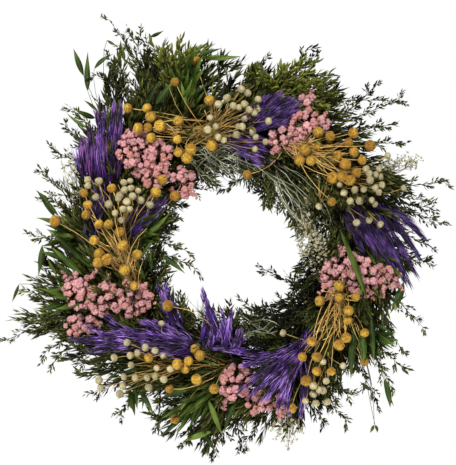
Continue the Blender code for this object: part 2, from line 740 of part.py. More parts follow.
def keep_outer_body(mesh):
    """Fills sealed hollows and drops loose scraps: only the largest shell stays."""
    bm = bmesh.new()
    bm.from_mesh(mesh)
    left = set(bm.faces)
    shells = []
    while left:
        shell = [left.pop()]
        for face in shell:
            for edge in face.edges:
                for other in edge.link_faces:
                    if other in left:
                        left.remove(other)
                        shell.append(other)
        shells.append(shell)
    shells.sort(key=len)
    for shell in shells[:-1]:
        bmesh.ops.delete(bm, geom=shell, context="FACES")
    bm.to_mesh(mesh)
    bm.free()


def build_bunch(bunch, collection):
    """One Boolean union joins a bunch's pieces to its stem."""
    parts = bpy.data.collections.new(bunch.name + " pieces")
    collection.children.link(parts)
    meshes = [spindle_mesh(bunch.name, piece) for piece in bunch.pieces]
    body = make_object(bunch.name, meshes[0], bunch.colour, collection)
    for mesh in meshes[1:]:
        make_object(bunch.name + " piece", mesh, bunch.colour, parts)
    join = body.modifiers.new("join", "BOOLEAN")
    join.operation = "UNION"
    join.operand_type = "COLLECTION"
    join.collection = parts
    join.solver = "MANIFOLD"
    graph = bpy.context.evaluated_depsgraph_get()
    joined = bpy.data.meshes.new_from_object(body.evaluated_get(graph))
    body.modifiers.clear()
    body.data = joined
    for item in list(parts.objects):
        bpy.data.objects.remove(item)
    bpy.data.collections.remove(parts)
    keep_outer_body(joined)
    joined.shade_smooth()
    joined.set_sharp_from_angle(angle=SMOOTH_ANGLE)


def build_all(bunches, route):
    collection = bpy.context.scene.collection
    ring = make_object("wire_ring", make_ring(), "galvanised wire", collection)
    ring.data.shade_smooth()
    make_object("binding_wire", spindle_mesh("binding_wire", route), "green binding wire", collection)
    for bunch in bunches.values():
        build_bunch(bunch, collection)


def main():
    for item in list(bpy.data.objects):
        bpy.data.objects.remove(item)
    room = Room()
    room.take("wire_ring", ring_bars())
    route = binding_route()
    room.take("binding_wire", bars_of(route))
    bunches = make_bunches()
    for bunch in bunches.values():
        room.take(bunch.name, [(bunch.stem[0], bunch.stem[1], STEM - GAP / 2)])
    forks = {}
    for bunch in bunches.values():
        if bunch.colour == "dark foliage":
            forks[bunch.name] = grow_foliage_stem(bunch, room)
    necks = grow_necks(bunches, room)
    grow_heads(bunches, room, necks, forks)
    build_all(bunches, route)


main()
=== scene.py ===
"""Dried flower wreath: fine pieces and finishes for the bunches tied to the wire ring.

Layout values are millimetres from the ring's centre: x to the right, z up, and f forward from
the ring towards the viewer. Each bunch is one piece, grown from its tie on the ring.
"""

import math

import bmesh
import bpy
import numpy as np
from mathutils import Matrix, Vector


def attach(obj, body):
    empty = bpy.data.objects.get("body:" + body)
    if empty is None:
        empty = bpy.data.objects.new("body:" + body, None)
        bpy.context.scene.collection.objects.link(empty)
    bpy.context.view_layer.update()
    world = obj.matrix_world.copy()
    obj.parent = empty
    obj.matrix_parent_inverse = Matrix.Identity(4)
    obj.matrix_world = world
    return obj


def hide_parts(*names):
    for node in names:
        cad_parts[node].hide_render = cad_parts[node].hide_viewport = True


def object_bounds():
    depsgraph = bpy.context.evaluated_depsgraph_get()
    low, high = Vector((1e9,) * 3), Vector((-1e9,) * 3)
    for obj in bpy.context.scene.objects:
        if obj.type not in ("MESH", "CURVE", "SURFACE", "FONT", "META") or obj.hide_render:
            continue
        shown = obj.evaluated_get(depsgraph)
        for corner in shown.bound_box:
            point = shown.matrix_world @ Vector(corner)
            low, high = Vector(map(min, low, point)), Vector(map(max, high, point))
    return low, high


bl_info = {
    "name": "Dried Flower Wreath",
    "version": (1, 0, 0),
    "blender": (4, 5, 0),
    "location": "View3D > Sidebar > Wreath",
    "description": "Grows the wreath's dried foliage and flowers round its wire ring",
    "category": "Add Mesh",
}

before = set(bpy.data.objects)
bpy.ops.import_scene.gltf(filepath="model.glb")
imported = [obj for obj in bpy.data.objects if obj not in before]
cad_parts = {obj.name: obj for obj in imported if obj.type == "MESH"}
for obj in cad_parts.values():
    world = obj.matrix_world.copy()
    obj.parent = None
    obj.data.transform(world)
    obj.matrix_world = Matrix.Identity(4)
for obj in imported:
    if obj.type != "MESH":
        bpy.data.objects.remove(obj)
CAD_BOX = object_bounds()

MM = 0.001
RING_RADIUS = 152.4
RING_WIRE = 2.0
GOLDEN_ANGLE = math.pi * (3.0 - math.sqrt(5.0))
WALL = 3.0
FLORET_AREA = 36.0

# The camera's axis in layout millimetres, its distance, and the plane at which layout values hold
EYE_X = -8.75
EYE_Z = 15.6
EYE_DISTANCE = 2400.0
LAYOUT_PLANE = 45.0

# Ties: where a bunch is held on the ring
STATIONS = [350, 20, 50, 80, 110, 140, 170, 200, 230, 260, 290, 320]
STATION_STEP = 30.0
SLOT_PITCH = 7.0
FIRST_ROW = 5.65
STEM_TAIL = 8.0
NECK_START = 14.0

# Binding wire
BINDING_OFFSET = 3.1
LOOP_HALF_WIDTH = 13.4
LOOP_HALF_HEIGHT = 14.6
LOOP_CENTRE = 10.6
LOOP_POINTS = 16
LOOP_PITCH = 5.0
LOOP_LEAD = 4.5
LOOP_START = -45.0
RUN_POINTS = 3

# The foliage's outline by clock angle: its inner and outer radius every 30 degrees from the top
CLOCK = np.arange(0.0, 361.0, 15.0)
INNER_REACH = [67, 73, 65, 57, 62, 80, 77, 77, 85, 92, 85, 79, 61, 67, 104, 92, 67, 85, 91, 75, 74, 83,
               98, 64, 67]
OUTER_REACH = [238, 224, 246, 213, 236, 228, 231, 214, 233, 220, 253, 248, 248, 273, 233, 252, 268, 298,
               231, 231, 228, 275, 292, 266, 238]

# Gold and ivory button bunches: station, slot, fan point (x, z, f), how wide the straws spread
# there, how many bare straws there are, heads (x, z and, for some, how far back the straw runs
# and how far back the head sits)
GOLD = {
    "gold_buttons_top_left": (350, (0, 2), (-48, 140, 42), 12, 44, [
        (-134, 171, 16), (-110, 171, 16), (-105, 160, 16), (-121, 146, 16), (-109, 147, 12), (-94, 149, 8),
        (-105, 134, 8), (-71, 155),
        (-72, 132), (-71, 116), (-55, 120), (-29, 124), (-32, 181), (-60, 109), (-49, 230),
        (-75, 204)]),
    "gold_buttons_right": (20, (0, 1), (86, 119, 58), 9, 84, [
        (104, 141), (119, 136), (148, 140), (142, 128), (169, 124), (149, 116), (159, 106),
        (138, 101), (152, 90), (122, 84), (134, 86), (144, 81), (121, 54), (95, 105), (81, 106),
        (88, 119), (15, 88), (105, 114, 0, 15), (122, 105, 0, 15), (92, 123, 0, 13),
        (117, 124, 0, 15), (128, 111, 0, 13), (102, 124, 0, 15)]),
    "gold_buttons_lower_right": (80, (-1, 1), (132, -66, 48), 11, 88, [
        (130, -51), (106, -70), (130, -66), (151, -65), (142, -82), (141, -94), (162, -110),
        (139, -116), (130, -125), (96, -121), (84, -140), (102, -140), (102, -158), (89, -170),
        (120, -158), (162, -146), (70, -204)]),
    "gold_buttons_bottom": (170, (1, 2), (-10, -150, 36), 6, 4, [
        (-108, -141), (-72, -149), (-58, -145), (-62, -155), (-50, -130), (-44, -138),
        (-82, -180), (-48, -168), (-26, -180), (-75, -218), (-84, -76, -34)]),
    "gold_buttons_left": (230, (0, 1), (-136, -30, 50), 10, 50, [
        (-154, 71), (-189, 65), (-184, 50), (-186, 38), (-225, 30), (-170, 26), (-158, 26),
        (-144, 16), (-176, 6), (-140, -1), (-170, -11), (-160, -18), (-171, -22), (-122, -12),
        (-138, -31), (-126, -51), (-99, 66, 34), (-75, 61, 34), (-91, 81, 34)]),
}
IVORY = {
    "ivory_buttons_top": (320, (0, 2), (-42, 138, 46), 9, 38, [
        (-21, 176), (-10, 184), (8, 195), (16, 190), (-2, 174), (5, 172), (12, 176), (18, 169),
        (28, 170), (24, 165), (12, 158), (42, 155), (29, 182), (4, 148), (9, 148), (-24, 148),
        (-34, 144), (22, 142), (26, 135), (2, 138), (-14, 131), (-21, 135), (25, 120), (38, 129),
        (-31, 159)]),
    "ivory_buttons_right": (20, (1, 1), (118, 100, 38), 8, 30, [
        (105, 48), (136, 65), (150, 69), (131, 76), (144, 55), (156, 55), (171, 56), (175, 51),
        (180, 66), (175, 71), (161, 69), (169, 81), (176, 88), (168, 89), (182, 85), (164, 95),
        (180, 95), (191, 112), (152, 28), (168, 31), (182, 26), (211, 71), (184, 75)]),
    "ivory_buttons_lower_right": (110, (0, 1), (112, -132, 30), 6, 4, [
        (98, -176), (105, -181), (114, -170), (110, -182), (98, -186), (88, -195), (115, -196),
        (135, -151), (110, -146), (60, -110), (101, -198)]),
    "ivory_buttons_bottom_left": (170, (0, 1), (-60, -150, 44), 6, 18, [
        (-151, -141), (-135, -122), (-112, -128), (-122, -135), (-100, -132), (-90, -138),
        (-131, -138), (-130, -150), (-98, -154), (-81, -155), (-110, -166), (-100, -164),
        (-89, -168), (-125, -166), (-139, -165), (-140, -176), (-108, -178), (-144, -186),
        (-170, -169), (-168, -178), (-92, -98)]),
    "ivory_buttons_left": (260, (1, 1), (-138, 8, 40), 8, 8, [
        (-184, 81), (-170, 80), (-184, 74), (-174, 60), (-139, 78), (-131, 80), (-130, 71),
        (-138, 69), (-121, 68), (-144, 62), (-128, 61), (-146, 58), (-135, 54), (-158, 51),
        (-118, 56), (-140, 45), (-132, 45), (-106, 50), (-150, 40), (-142, 31)]),
}

# Pink clusters: station, slot, cores (x, z, f, half width, half height, half depth), bud spike
# tips (x, z, f)
PINK = {
    "pink_cluster_upper_left": (290, (0, 1), [
        (-122, 116, 56, 21, 25, 10), (-94, 112, 55, 14, 17, 9), (-102, 88, 54, 16, 12, 9)],
        [(-136, 142, 56)]),
    "pink_cluster_inner_left": (290, (-1, 1), [(-66, 80, 50, 12, 17, 8)],
        [(-50, 60, 50), (-60, 60, 50)]),
    "pink_cluster_top_right": (350, (-1, 1), [
        (62, 132, 54, 17, 13, 9), (92, 148, 58, 22, 16, 10), (90, 178, 50, 7, 10, 7)],
        [(96, 192, 48), (114, 164, 56), (46, 114, 56), (74, 112, 52)]),
    "pink_cluster_right": (80, (0, 1), [
        (122, -38, 50, 14, 18, 9), (142, -24, 50, 14, 16, 9), (158, -40, 54, 16, 20, 9),
        (188, -38, 48, 16, 12, 9)],
        [(131, -2, 52), (108, -58, 54), (120, -66, 52), (148, -70, 58), (172, -66, 54),
         (184, -66, 50), (212, -56, 46), (206, -40, 44)]),
    "pink_cluster_bottom": (140, (-1, 1), [
        (0, -172, 52, 17, 20, 10), (30, -198, 48, 13, 11, 9), (56, -200, 46, 9, 10, 8)],
        [(-14, -204, 50), (24, -212, 50), (56, -216, 46)]),
    "pink_cluster_lower_left": (200, (0, 1), [
        (-196, -58, 46, 16, 20, 9), (-162, -68, 54, 19, 18, 10),
        (-126, -70, 52, 18, 19, 9), (-190, -100, 44, 20, 11, 8)],
        [(-216, -34, 46), (-200, -40, 50), (-138, -42, 62), (-112, -48, 58), (-104, -72, 56),
         (-158, -36, 60), (-172, -28, 54), (-150, -120, 48)]),
}

# Purple plumes: station, slot, arms (base x, base z, tip x, tip z, f), then the half width of an
# arm's spines, awn count, awn lengths, awn half width, how far the awns lean out, how much they
# curl, share of accent awns, and a factor on the brightness of all its colours
PLUMES = {
    "purple_plume_upper_left": (260, (0, 2), [
        (-156, 79, -151, 176, 56), (-149, 81, -142, 176, 50), (-164, 79, -164, 169, 58),
        (-171, 81, -171, 166, 56), (-179, 81, -181, 149, 54), (-187, 84, -190, 130, 50)],
        1.0, 900, (24, 44), 0.60, 0.12, 0.12, 0.17, 0.95),
    "purple_plume_left": (260, (-1, 1), [
        (-189, -2, -174, 69, 42), (-180, 4, -164, 69, 46), (-134, 9, -84, 58, 58),
        (-124, 14, -94, 52, 56), (-138, 22, -100, 60, 54)],
        0.9, 480, (22, 36), 0.55, 0.16, 0.12, 0.14, 0.95),
    "purple_plume_top": (350, (0, 1), [
        (4, 144, 41, 186, 54), (10, 145, 61, 189, 60), (16, 145, 82, 181, 60),
        (22, 145, 79, 168, 60), (19, 141, 64, 154, 58), (7, 145, 51, 189, 58), (13, 146, 72, 187, 60)],
        0.9, 980, (20, 36), 0.60, 0.22, 0.16, 0.12, 0.98),
    "purple_plume_inner_top": (320, (-1, 1), [
        (-24, 138, 78, 117, 48), (-20, 132, 52, 115, 52), (-15, 129, 46, 104, 46),
        (-6, 125, 34, 100, 40)],
        0.9, 640, (24, 40), 0.60, 0.14, 0.12, 0.16, 1.6),
    "purple_plume_right": (50, (0, 1), [
        (135, 49, 162, -12, 48), (142, 51, 180, -20, 52), (150, 51, 200, -34, 54),
        (158, 51, 215, -50, 54), (166, 51, 222, -54, 52), (174, 51, 230, -42, 50),
        (181, 50, 234, -20, 46), (188, 48, 238, 8, 42)],
        1.1, 1150, (24, 42), 0.60, 0.10, 0.06, 0.08, 0.58),
    "purple_plume_lower_right": (140, (0, 1), [
        (81, -126, 2, -184, 70), (82, -129, 18, -190, 72), (84, -131, 35, -195, 72),
        (85, -132, 52, -205, 70), (86, -134, 64, -212, 66), (86, -134, 82, -218, 56),
        (96, -101, 81, -129, 52), (80, -127, 0, -136, 62), (81, -129, 8, -152, 64)],
        1.0, 1000, (18, 32), 0.70, 0.22, 0.26, 0.20, 1.2),
    "purple_plume_bottom": (140, (-1, 2), [
        (-31, -128, -26, -84, 60), (-24, -104, -41, -56, 64), (-38, -125, -36, -84, 58),
        (-16, -128, -16, -84, 56), (-8, -129, -5, -80, 56), (1, -131, 8, -106, 52),
        (-69, -106, -89, -49, 52), (-79, -112, -96, -50, 48), (36, -140, -38, -128, 52)],
        3.2, 460, (11, 22), 1.1, 0.32, 0.50, 0.26, 0.85),
    "purple_plume_lower_left": (170, (-1, 1), [
        (-49, -132, -205, -118, 56), (-49, -131, -186, -131, 60), (-49, -129, -188, -102, 62),
        (-52, -128, -170, -112, 66), (-54, -126, -166, -90, 62), (-54, -128, -140, -106, 68),
        (-56, -125, -116, -94, 60), (-59, -126, -128, -118, 68)],
        1.4, 1040, (20, 36), 0.80, 0.28, 0.40, 0.22, 1.0),
}

# Leafy stems: station, slot, stem end (x, z, f), leaves (base x, base z, tip x, tip z, f), and
# the number of further leaves
LEAVES = {
    "leafy_stem_top": (320, (1, 1), (-60, 216, 34), [
        (-58, 234, -16, 246, 44), (-49, 235, 8, 236, 34), (-44, 240, -24, 252, 30),
        (-106, 260, -89, 268, 30), (-110, 172, -94, 206, 50), (-100, 174, -74, 208, 54),
        (-61, 174, -68, 206, 52), (-56, 184, -34, 201, 48), (-79, 201, -49, 224, 40),
        (-71, 216, -38, 234, 36)], 22),
    "leafy_stem_upper_left": (290, (1, 0), (-172, 160, 26), [
        (-189, 211, -202, 246, 26), (-184, 192, -184, 242, 32), (-176, 220, -152, 239, 24),
        (-171, 166, -189, 181, 36), (-184, 146, -211, 165, 26), (-138, 229, -141, 250, 26),
        (-160, 256, -148, 249, 22)], 3),
    "leafy_stem_left": (260, (1, 0), (-206, 10, 24), [
        (-225, 34, -249, 69, 30), (-220, 36, -242, 64, 34), (-208, 19, -249, 34, 44),
        (-179, -31, -235, 19, 56), (-199, 9, -236, 20, 40)], 9),
    "leafy_stem_inner_left": (260, (-1, 0), (-112, 20, 34), [
        (-120, -20, -100, 10, 58), (-119, 6, -84, 49, 48), (-117, 10, -81, 41, 56),
        (-112, -45, -124, -18, 54), (-104, -32, -106, -6, 50), (-94, 54, -82, 65, 40),
        (-94, -26, -68, -20, 42), (-92, -36, -70, -32, 38), (-92, -12, -62, -36, 44)], 22),
    "leafy_stem_lower_left": (230, (1, 1), (-214, -72, 26), [
        (-241, 0, -246, -39, 34), (-270, -49, -279, -72, 28), (-222, -39, -235, -15, 40),
        (-236, -59, -211, -54, 36), (-184, -51, -228, -18, 50), (-204, -21, -244, -8, 34),
        (-189, -39, -231, -1, 46)], 13),
    "leafy_stem_bottom_left": (200, (1, 1), (-124, -184, 26), [
        (-132, -178, -125, -214, 34), (-121, -180, -101, -214, 40),
        (-126, -175, -122, -206, 30), (-82, -199, -108, -221, 34), (-82, -201, -98, -230, 28),
        (-146, -159, -164, -174, 36)], 4),
    "leafy_stem_bottom": (170, (1, 1), (-54, -200, 26), [
        (-34, -192, -16, -239, 46), (4, -192, -14, -236, 42), (-28, -233, -66, -246, 36),
        (-42, -232, -24, -259, 26), (-92, -191, -44, -172, 46), (-81, -199, -34, -184, 40),
        (-52, -160, -24, -158, 54), (-42, -144, -18, -152, 56), (-74, -219, -94, -239, 30)], 32),
    "leafy_stem_lower_right": (110, (1, 1), (176, -118, 30), [
        (150, -101, 145, -168, 66), (170, -89, 174, -149, 60), (187, -166, 194, -204, 36),
        (186, -168, 199, -202, 32), (170, -182, 156, -171, 30), (172, -181, 170, -196, 30),
        (174, -225, 169, -235, 30), (175, -225, 178, -235, 32), (159, -106, 161, -151, 62)], 20),
    "leafy_stem_right": (80, (1, 1), (190, -14, 24), [
        (131, 20, 166, -70, 70), (211, -46, 194, -86, 46), (214, -64, 194, -76, 40),
        (154, -61, 164, -96, 48), (165, -69, 174, -106, 48), (212, -52, 200, -82, 44)], 10),
}

# Lime foliage sprays: station, slot, spray end (x, z, f), shoot tips (x, z, f)
LIME = {
    "lime_spray_top_left": (320, (0, 1), (-80, 212, 34), [
        (-92, 236, 38), (-74, 240, 34), (-54, 236, 38), (-84, 224, 44), (-62, 226, 42)]),
    "lime_spray_top_right": (350, (1, 1), (66, 206, 38), [
        (92, 216, 40), (102, 204, 34), (76, 220, 36), (106, 188, 40), (94, 198, 52),
        (56, 212, 44), (100, 178, 50), (36, 205, 40)]),
}

# Cream filler flowers: station, slot, stem end, how far the stems sway (x, z), flower tips
# (x, z, f), flowers round each tip
CREAM = {
    "cream_spray_inner_right": (20, (-1, 1), (94, 14, 44), (-46, -26), [
        (84, -18, 46), (92, -26, 48), (100, -8, 50), (112, -14, 46), (80, -2, 42), (104, 10, 52),
        (94, 4, 54), (110, 4, 48), (100, -22, 42), (86, 16, 50), (90, -12, 56), (106, -18, 52),
        (98, 16, 56), (84, -10, 54), (114, -6, 54), (92, 22, 48), (104, 0, 58), (96, -28, 50)], 6),
    "cream_spray_right": (50, (1, 1), (206, 104, 36), (0, 0), [
        (232, 106, 36), (226, 110, 38), (218, 104, 42), (212, 110, 36), (204, 106, 40),
        (226, 100, 34), (192, 106, 44), (198, 100, 42), (186, 103, 46)], 5),
    "cream_spray_bottom": (140, (1, 1), (66, -222, 34), (0, 0), [
        (52, -240, 34), (62, -246, 36), (74, -242, 32), (58, -230, 40), (70, -230, 42),
        (82, -232, 36), (46, -228, 34), (66, -252, 30)], 5),
    "cream_spray_left": (230, (1, 2), (-206, 86, 40), (-6, 0), [
        (-218, 104, 38), (-206, 106, 42), (-214, 94, 44), (-200, 98, 38), (-208, 114, 36)], 4),
}

# Long blades in each foliage bunch, by its station
BLADES = {350: 32, 20: 40, 50: 18, 80: 52, 110: 44, 140: 26, 170: 44, 200: 34, 230: 88, 260: 80,
          290: 24, 320: 58}

# Bunches that lie in shade on their inner side: there their fine leaves get painted shade, tints near
# nought
PAINTED_SHADE_BUNCHES = (80, 110, 140)

# Bunches whose fine leaves get painted light: their tints are raised, so they are drawn lighter than the
# others
PAINTED_LIGHT_BUNCHES = (200, 230, 260, 290)

# Runs of pale dried stems in a foliage bunch, by its station: (from x, from z, to x, to z, f, count)
STRANDS = {
    320: [(-52, 114, -10, 92, 46, 14), (-40, 104, -6, 112, 50, 9)],
    350: [(-8, 116, 14, 92, 34, 14)],
    20: [(44, 98, 88, 30, 42, 9), (62, 88, 108, 22, 46, 7)],
    140: [(46, -106, 4, -104, 34, 10)],
    170: [(-20, -110, -52, -84, 30, 8)],
}

# Twigs that stand out of the outline, by the station they grow from: (x, z, f)
TWIG_TIPS = {
    350: [(92, 246, 28), (124, 206, 34), (206, 180, 30), (37, 232, 30), (101, 236, 26)],
    20: [(206, 182, 34), (176, 200, 26), (196, 150, 40), (212, 128, 30), (-16, 66, 30)],
    50: [(264, 80, 40), (250, 46, 30), (244, 56, 44), (256, 28, 34), (248, -4, 36)],
    80: [(244, -20, 30), (236, -104, 34), (212, -136, 28)],
    110: [(212, -156, 30), (178, -196, 22), (194, -176, 40), (30, -28, 22), (58, -70, 30)],
    140: [(140, -220, 32), (12, -250, 30), (126, -196, 40), (148, -188, 28), (110, -222, 24)],
    170: [(-28, -266, 28), (-64, -252, 38), (8, -256, 34), (-14, -246, 22), (6, -84, 30)],
    200: [(-176, -186, 30), (-146, -214, 20), (-96, -232, 30), (-200, -150, 36)],
    230: [(-284, -118, 34), (-240, -136, 26), (-256, -96, 40), (-264, -58, 30), (-230, -150, 24)],
    260: [(-254, 12, 20), (-244, 96, 26), (-236, 60, 34), (-48, -30, 28), (-62, -6, 36)],
    290: [(-212, 150, 26), (-226, 118, 34), (-206, 172, 30), (-24, 78, 32), (-40, 70, 24)],
    320: [(-157, 281, 30), (-120, 264, 38), (-134, 272, 26), (-108, 240, 44), (-160, 236, 36),
          (-176, 214, 40)],
}


def spot(x, z, f):
    return spots([(x, z, f)])[0]


def spots(rows):
    """Layout points in the part's frame; further forward they draw in towards the camera's axis."""
    x, z, f = np.array(rows, dtype=float).T
    shrink = 1.0 - (f - LAYOUT_PLANE) / EYE_DISTANCE
    x = EYE_X + (x - EYE_X) * shrink
    z = EYE_Z + (z - EYE_Z) * shrink
    return np.stack([x, -f, z - RING_RADIUS + RING_WIRE], axis=-1)


def on_ring(degrees, out, forward):
    """Points beside the ring wire: out from the centre and forward, clockwise from the top."""
    degrees, out, forward = np.broadcast_arrays(degrees, out, forward)
    angle = np.radians(degrees)
    radius = RING_RADIUS + out
    up = radius * np.cos(angle) - RING_RADIUS + RING_WIRE
    return np.stack([radius * np.sin(angle), -forward, up], axis=-1).astype(float)


def flow(degrees, sense=1):
    """The direction in which a bunch tied at a ring angle points."""
    angle = math.radians(degrees)
    return np.array([math.cos(angle), 0.0, -math.sin(angle)]) * sense


def along(degrees, distance):
    """The ring angle a distance further clockwise."""
    return degrees + np.degrees(distance / RING_RADIUS)


def dome(x, z):
    """How far forward the flower heads stand: highest over the middle of the wreath's tube."""
    offset = (np.hypot(x, z) - 158.0) / 100.0
    return 34.0 + 42.0 * np.maximum(0.0, 1.0 - offset * offset)


def unit(vectors):
    return vectors / np.maximum(np.linalg.norm(vectors, axis=-1, keepdims=True), 1e-9)


def confine(points, rng, slack):
    """Points that stray into the hole, the wall or past the foliage's reach, moved back."""
    across, up = points[:, 0], points[:, 2] + RING_RADIUS - RING_WIRE
    radius = np.hypot(across, up)
    angle = np.degrees(np.arctan2(across, up)) % 360.0
    low = np.interp(angle, CLOCK, INNER_REACH)
    high = np.interp(angle, CLOCK, OUTER_REACH) + slack
    kept = np.where(radius < low, low + rng.uniform(0, 9, len(points)), radius)
    kept = np.where(kept > high, high - rng.uniform(0, 14, len(points)), kept)
    moved = points.copy()
    moved[:, 0] = across * kept / radius
    moved[:, 2] = up * kept / radius - RING_RADIUS + RING_WIRE
    moved[:, 1] = -np.clip(-points[:, 1], rng.uniform(4.0, 12.0, len(points)), 82.0)
    return moved


class Lines:
    """Curved lines in millimetres, each with a root, a point that it bends towards, and a tip."""

    def __init__(self, root, bend, tip):
        self.root, self.bend, self.tip = np.broadcast_arrays(
            *(np.atleast_2d(np.asarray(end, dtype=float)) for end in (root, bend, tip)))

    def at(self, share):
        """Points and headings at shares of each line's length; share has a row for each line."""
        share = share[..., None]
        root, bend, tip = self.root[:, None], self.bend[:, None], self.tip[:, None]
        rest = 1.0 - share
        points = root * rest ** 2 + bend * 2 * share * rest + tip * share ** 2
        return points, unit((bend - root) * rest + (tip - bend) * share)

    def shoots(self, rng, count, span, lengths, lean, curl=0.0, taper=0.3):
        """Shoots that leave each line between two shares of it, turned by the golden angle."""
        rows = len(self.root)
        order = np.arange(count)
        share = span[0] + (span[1] - span[0]) * (order + rng.random((rows, count))) / count
        root, heading = self.at(share)
        first = unit(np.cross(heading, [0.31, 0.17, 0.93]))
        second = np.cross(heading, first)
        turn = (order * GOLDEN_ANGLE + rng.uniform(0, math.tau, (rows, 1)))[..., None]
        side = first * np.cos(turn) + second * np.sin(turn)
        angle = np.radians(rng.uniform(*lean, (rows, count)))[..., None]
        aim = heading * np.cos(angle) + side * np.sin(angle)
        length = (rng.uniform(*lengths, (rows, count)) * (1.0 - taper * share))[..., None]
        bend = root + (aim + side * curl) * length * 0.5
        tip = root + (aim + heading * curl) * length
        return Lines(*(part.reshape(-1, 3) for part in (root, bend, tip)))

    def confined(self, rng, slack=0.0):
        return Lines(self.root, confine(self.bend, rng, slack), confine(self.tip, rng, slack))

    def pick(self, chosen):
        return Lines(self.root[chosen], self.bend[chosen], self.tip[chosen])


def joined(*groups):
    return Lines(*(np.concatenate([getattr(group, part) for group in groups])
                   for part in ("root", "bend", "tip")))


class Template:
    """A small closed shape: x across, y through it, and z from 0 at its root to 1 at its tip."""

    def __init__(self, bm, smooth=True):
        bmesh.ops.remove_doubles(bm, verts=bm.verts[:], dist=0.004)
        bmesh.ops.triangulate(bm, faces=bm.faces[:])
        bmesh.ops.recalc_face_normals(bm, faces=bm.faces[:])
        bm.verts.index_update()
        self.points = np.array([vert.co[:] for vert in bm.verts])
        self.faces = np.array([[vert.index for vert in face.verts] for face in bm.faces])
        self.smooth = smooth
        bm.free()


def rod_template(sides, rings, profile):
    """A rod with cut ends; profile gives its radius at each share of its length."""
    bm = bmesh.new()
    bmesh.ops.create_cone(bm, cap_ends=True, segments=sides, radius1=1.0, radius2=1.0, depth=1.0)
    bmesh.ops.translate(bm, verts=bm.verts[:], vec=(0.0, 0.0, 0.5))
    for k in range(1, rings):
        bmesh.ops.bisect_plane(bm, geom=bm.verts[:] + bm.edges[:] + bm.faces[:],
                               plane_co=(0.0, 0.0, k / rings), plane_no=(0.0, 0.0, 1.0))
    for vert in bm.verts:
        radius = profile(vert.co.z)
        vert.co.x *= radius
        vert.co.y *= radius
    return Template(bm)


def chip_template():
    """The smallest closed leaf: a keeled blade of four faces."""
    bm = bmesh.new()
    bmesh.ops.create_cone(bm, cap_ends=True, segments=3, radius1=1.0, radius2=0.0, depth=1.0)
    bmesh.ops.remove_doubles(bm, verts=bm.verts[:], dist=0.001)
    corners = [(0.0, 0.0, 0.0), (-1.0, 0.8, 0.45), (1.0, 0.8, 0.45), (0.0, 0.0, 1.0)]
    for vert, corner in zip(bm.verts, corners):
        vert.co = corner
    return Template(bm, smooth=False)


def blade_template(sides, rings, outline, fold, thickness):
    """A leaf from a sphere: outline gives its half width, and fold lifts its edges from the rib."""
    bm = bmesh.new()
    bmesh.ops.create_uvsphere(bm, u_segments=sides, v_segments=rings, radius=1.0)
    for vert in bm.verts:
        share = math.acos(max(-1.0, min(1.0, -vert.co.z))) / math.pi
        turn = Vector((vert.co.x, vert.co.y))
        turn = turn.normalized() if turn.length > 0.001 else turn * 0.0
        half = outline(share)
        across = turn.x * half
        vert.co = (across, fold * abs(across) + thickness * turn.y * math.sqrt(half), share)
    return Template(bm)


def golden_spiral(count, start=1.0, end=-1.0):
    """Directions spread evenly over a ball, from one height on it to another."""
    for k in range(count):
        height = start + (end - start) * (k + 0.5) / count
        spread = math.sqrt(max(0.0, 1.0 - height * height))
        turn = k * GOLDEN_ANGLE
        yield Vector((spread * math.cos(turn), spread * math.sin(turn), height))


def head_template(subdivisions, florets, relief, dimple):
    """A round flower head whose surface is a spiral of small florets round a dimpled crown."""
    centres = list(golden_spiral(florets))
    reach = math.sqrt(4.0 / florets)
    bm = bmesh.new()
    bmesh.ops.create_icosphere(bm, subdivisions=subdivisions, radius=1.0)
    for vert in bm.verts:
        direction = vert.co.normalized()
        nearest = min((direction - centre).length for centre in centres) / reach
        crown = max(0.0, direction.z - 0.8) / 0.2
        vert.co = direction * (1.0 - relief * min(1.0, nearest * nearest * 1.4) - dimple * crown)
        vert.co.z *= 0.94
    return Template(bm)


def floret_template(lobes, start, end, spread, size, rings):
    """A bud of overlapping rounded scales set in a spiral."""
    bm = bmesh.new()
    for k, direction in enumerate(golden_spiral(lobes, start, end)):
        place = Matrix.LocRotScale(direction * spread, direction.to_track_quat("Z", "Y"), size)
        bmesh.ops.create_uvsphere(bm, u_segments=5, v_segments=rings, radius=1.0, matrix=place)
    return Template(bm)


STALK = rod_template(4, 4, lambda share: 1.0 - 0.25 * share)
TWIG = rod_template(3, 2, lambda share: 1.0 - 0.85 * share)
SHOOT = rod_template(3, 4, lambda share: 1.0 - 0.8 * share)
AWN = rod_template(3, 4, lambda share: 0.001 if share > 0.99 else 0.45 + 1.1 * share - 1.25 * share ** 2)
CHIP = chip_template()
LANCE = blade_template(6, 9, lambda share: math.sin(math.pi * share ** 0.8) ** 1.15, 0.28, 0.09)
OVAL = blade_template(6, 4, lambda share: math.sin(math.pi * share) ** 0.8, 0.25, 0.12)
GOLD_HEAD = head_template(3, 70, 0.09, 0.05)
IVORY_HEAD = head_template(2, 26, 0.05, 0.14)
FLORET = floret_template(8, 1.0, -0.4, 0.46, (0.52, 0.46, 0.5), 4)
BUD = floret_template(5, 1.0, -0.3, 0.4, (0.5, 0.42, 0.62), 4)
PETALS = floret_template(5, 0.35, 0.2, 0.6, (0.42, 0.2, 0.55), 3)


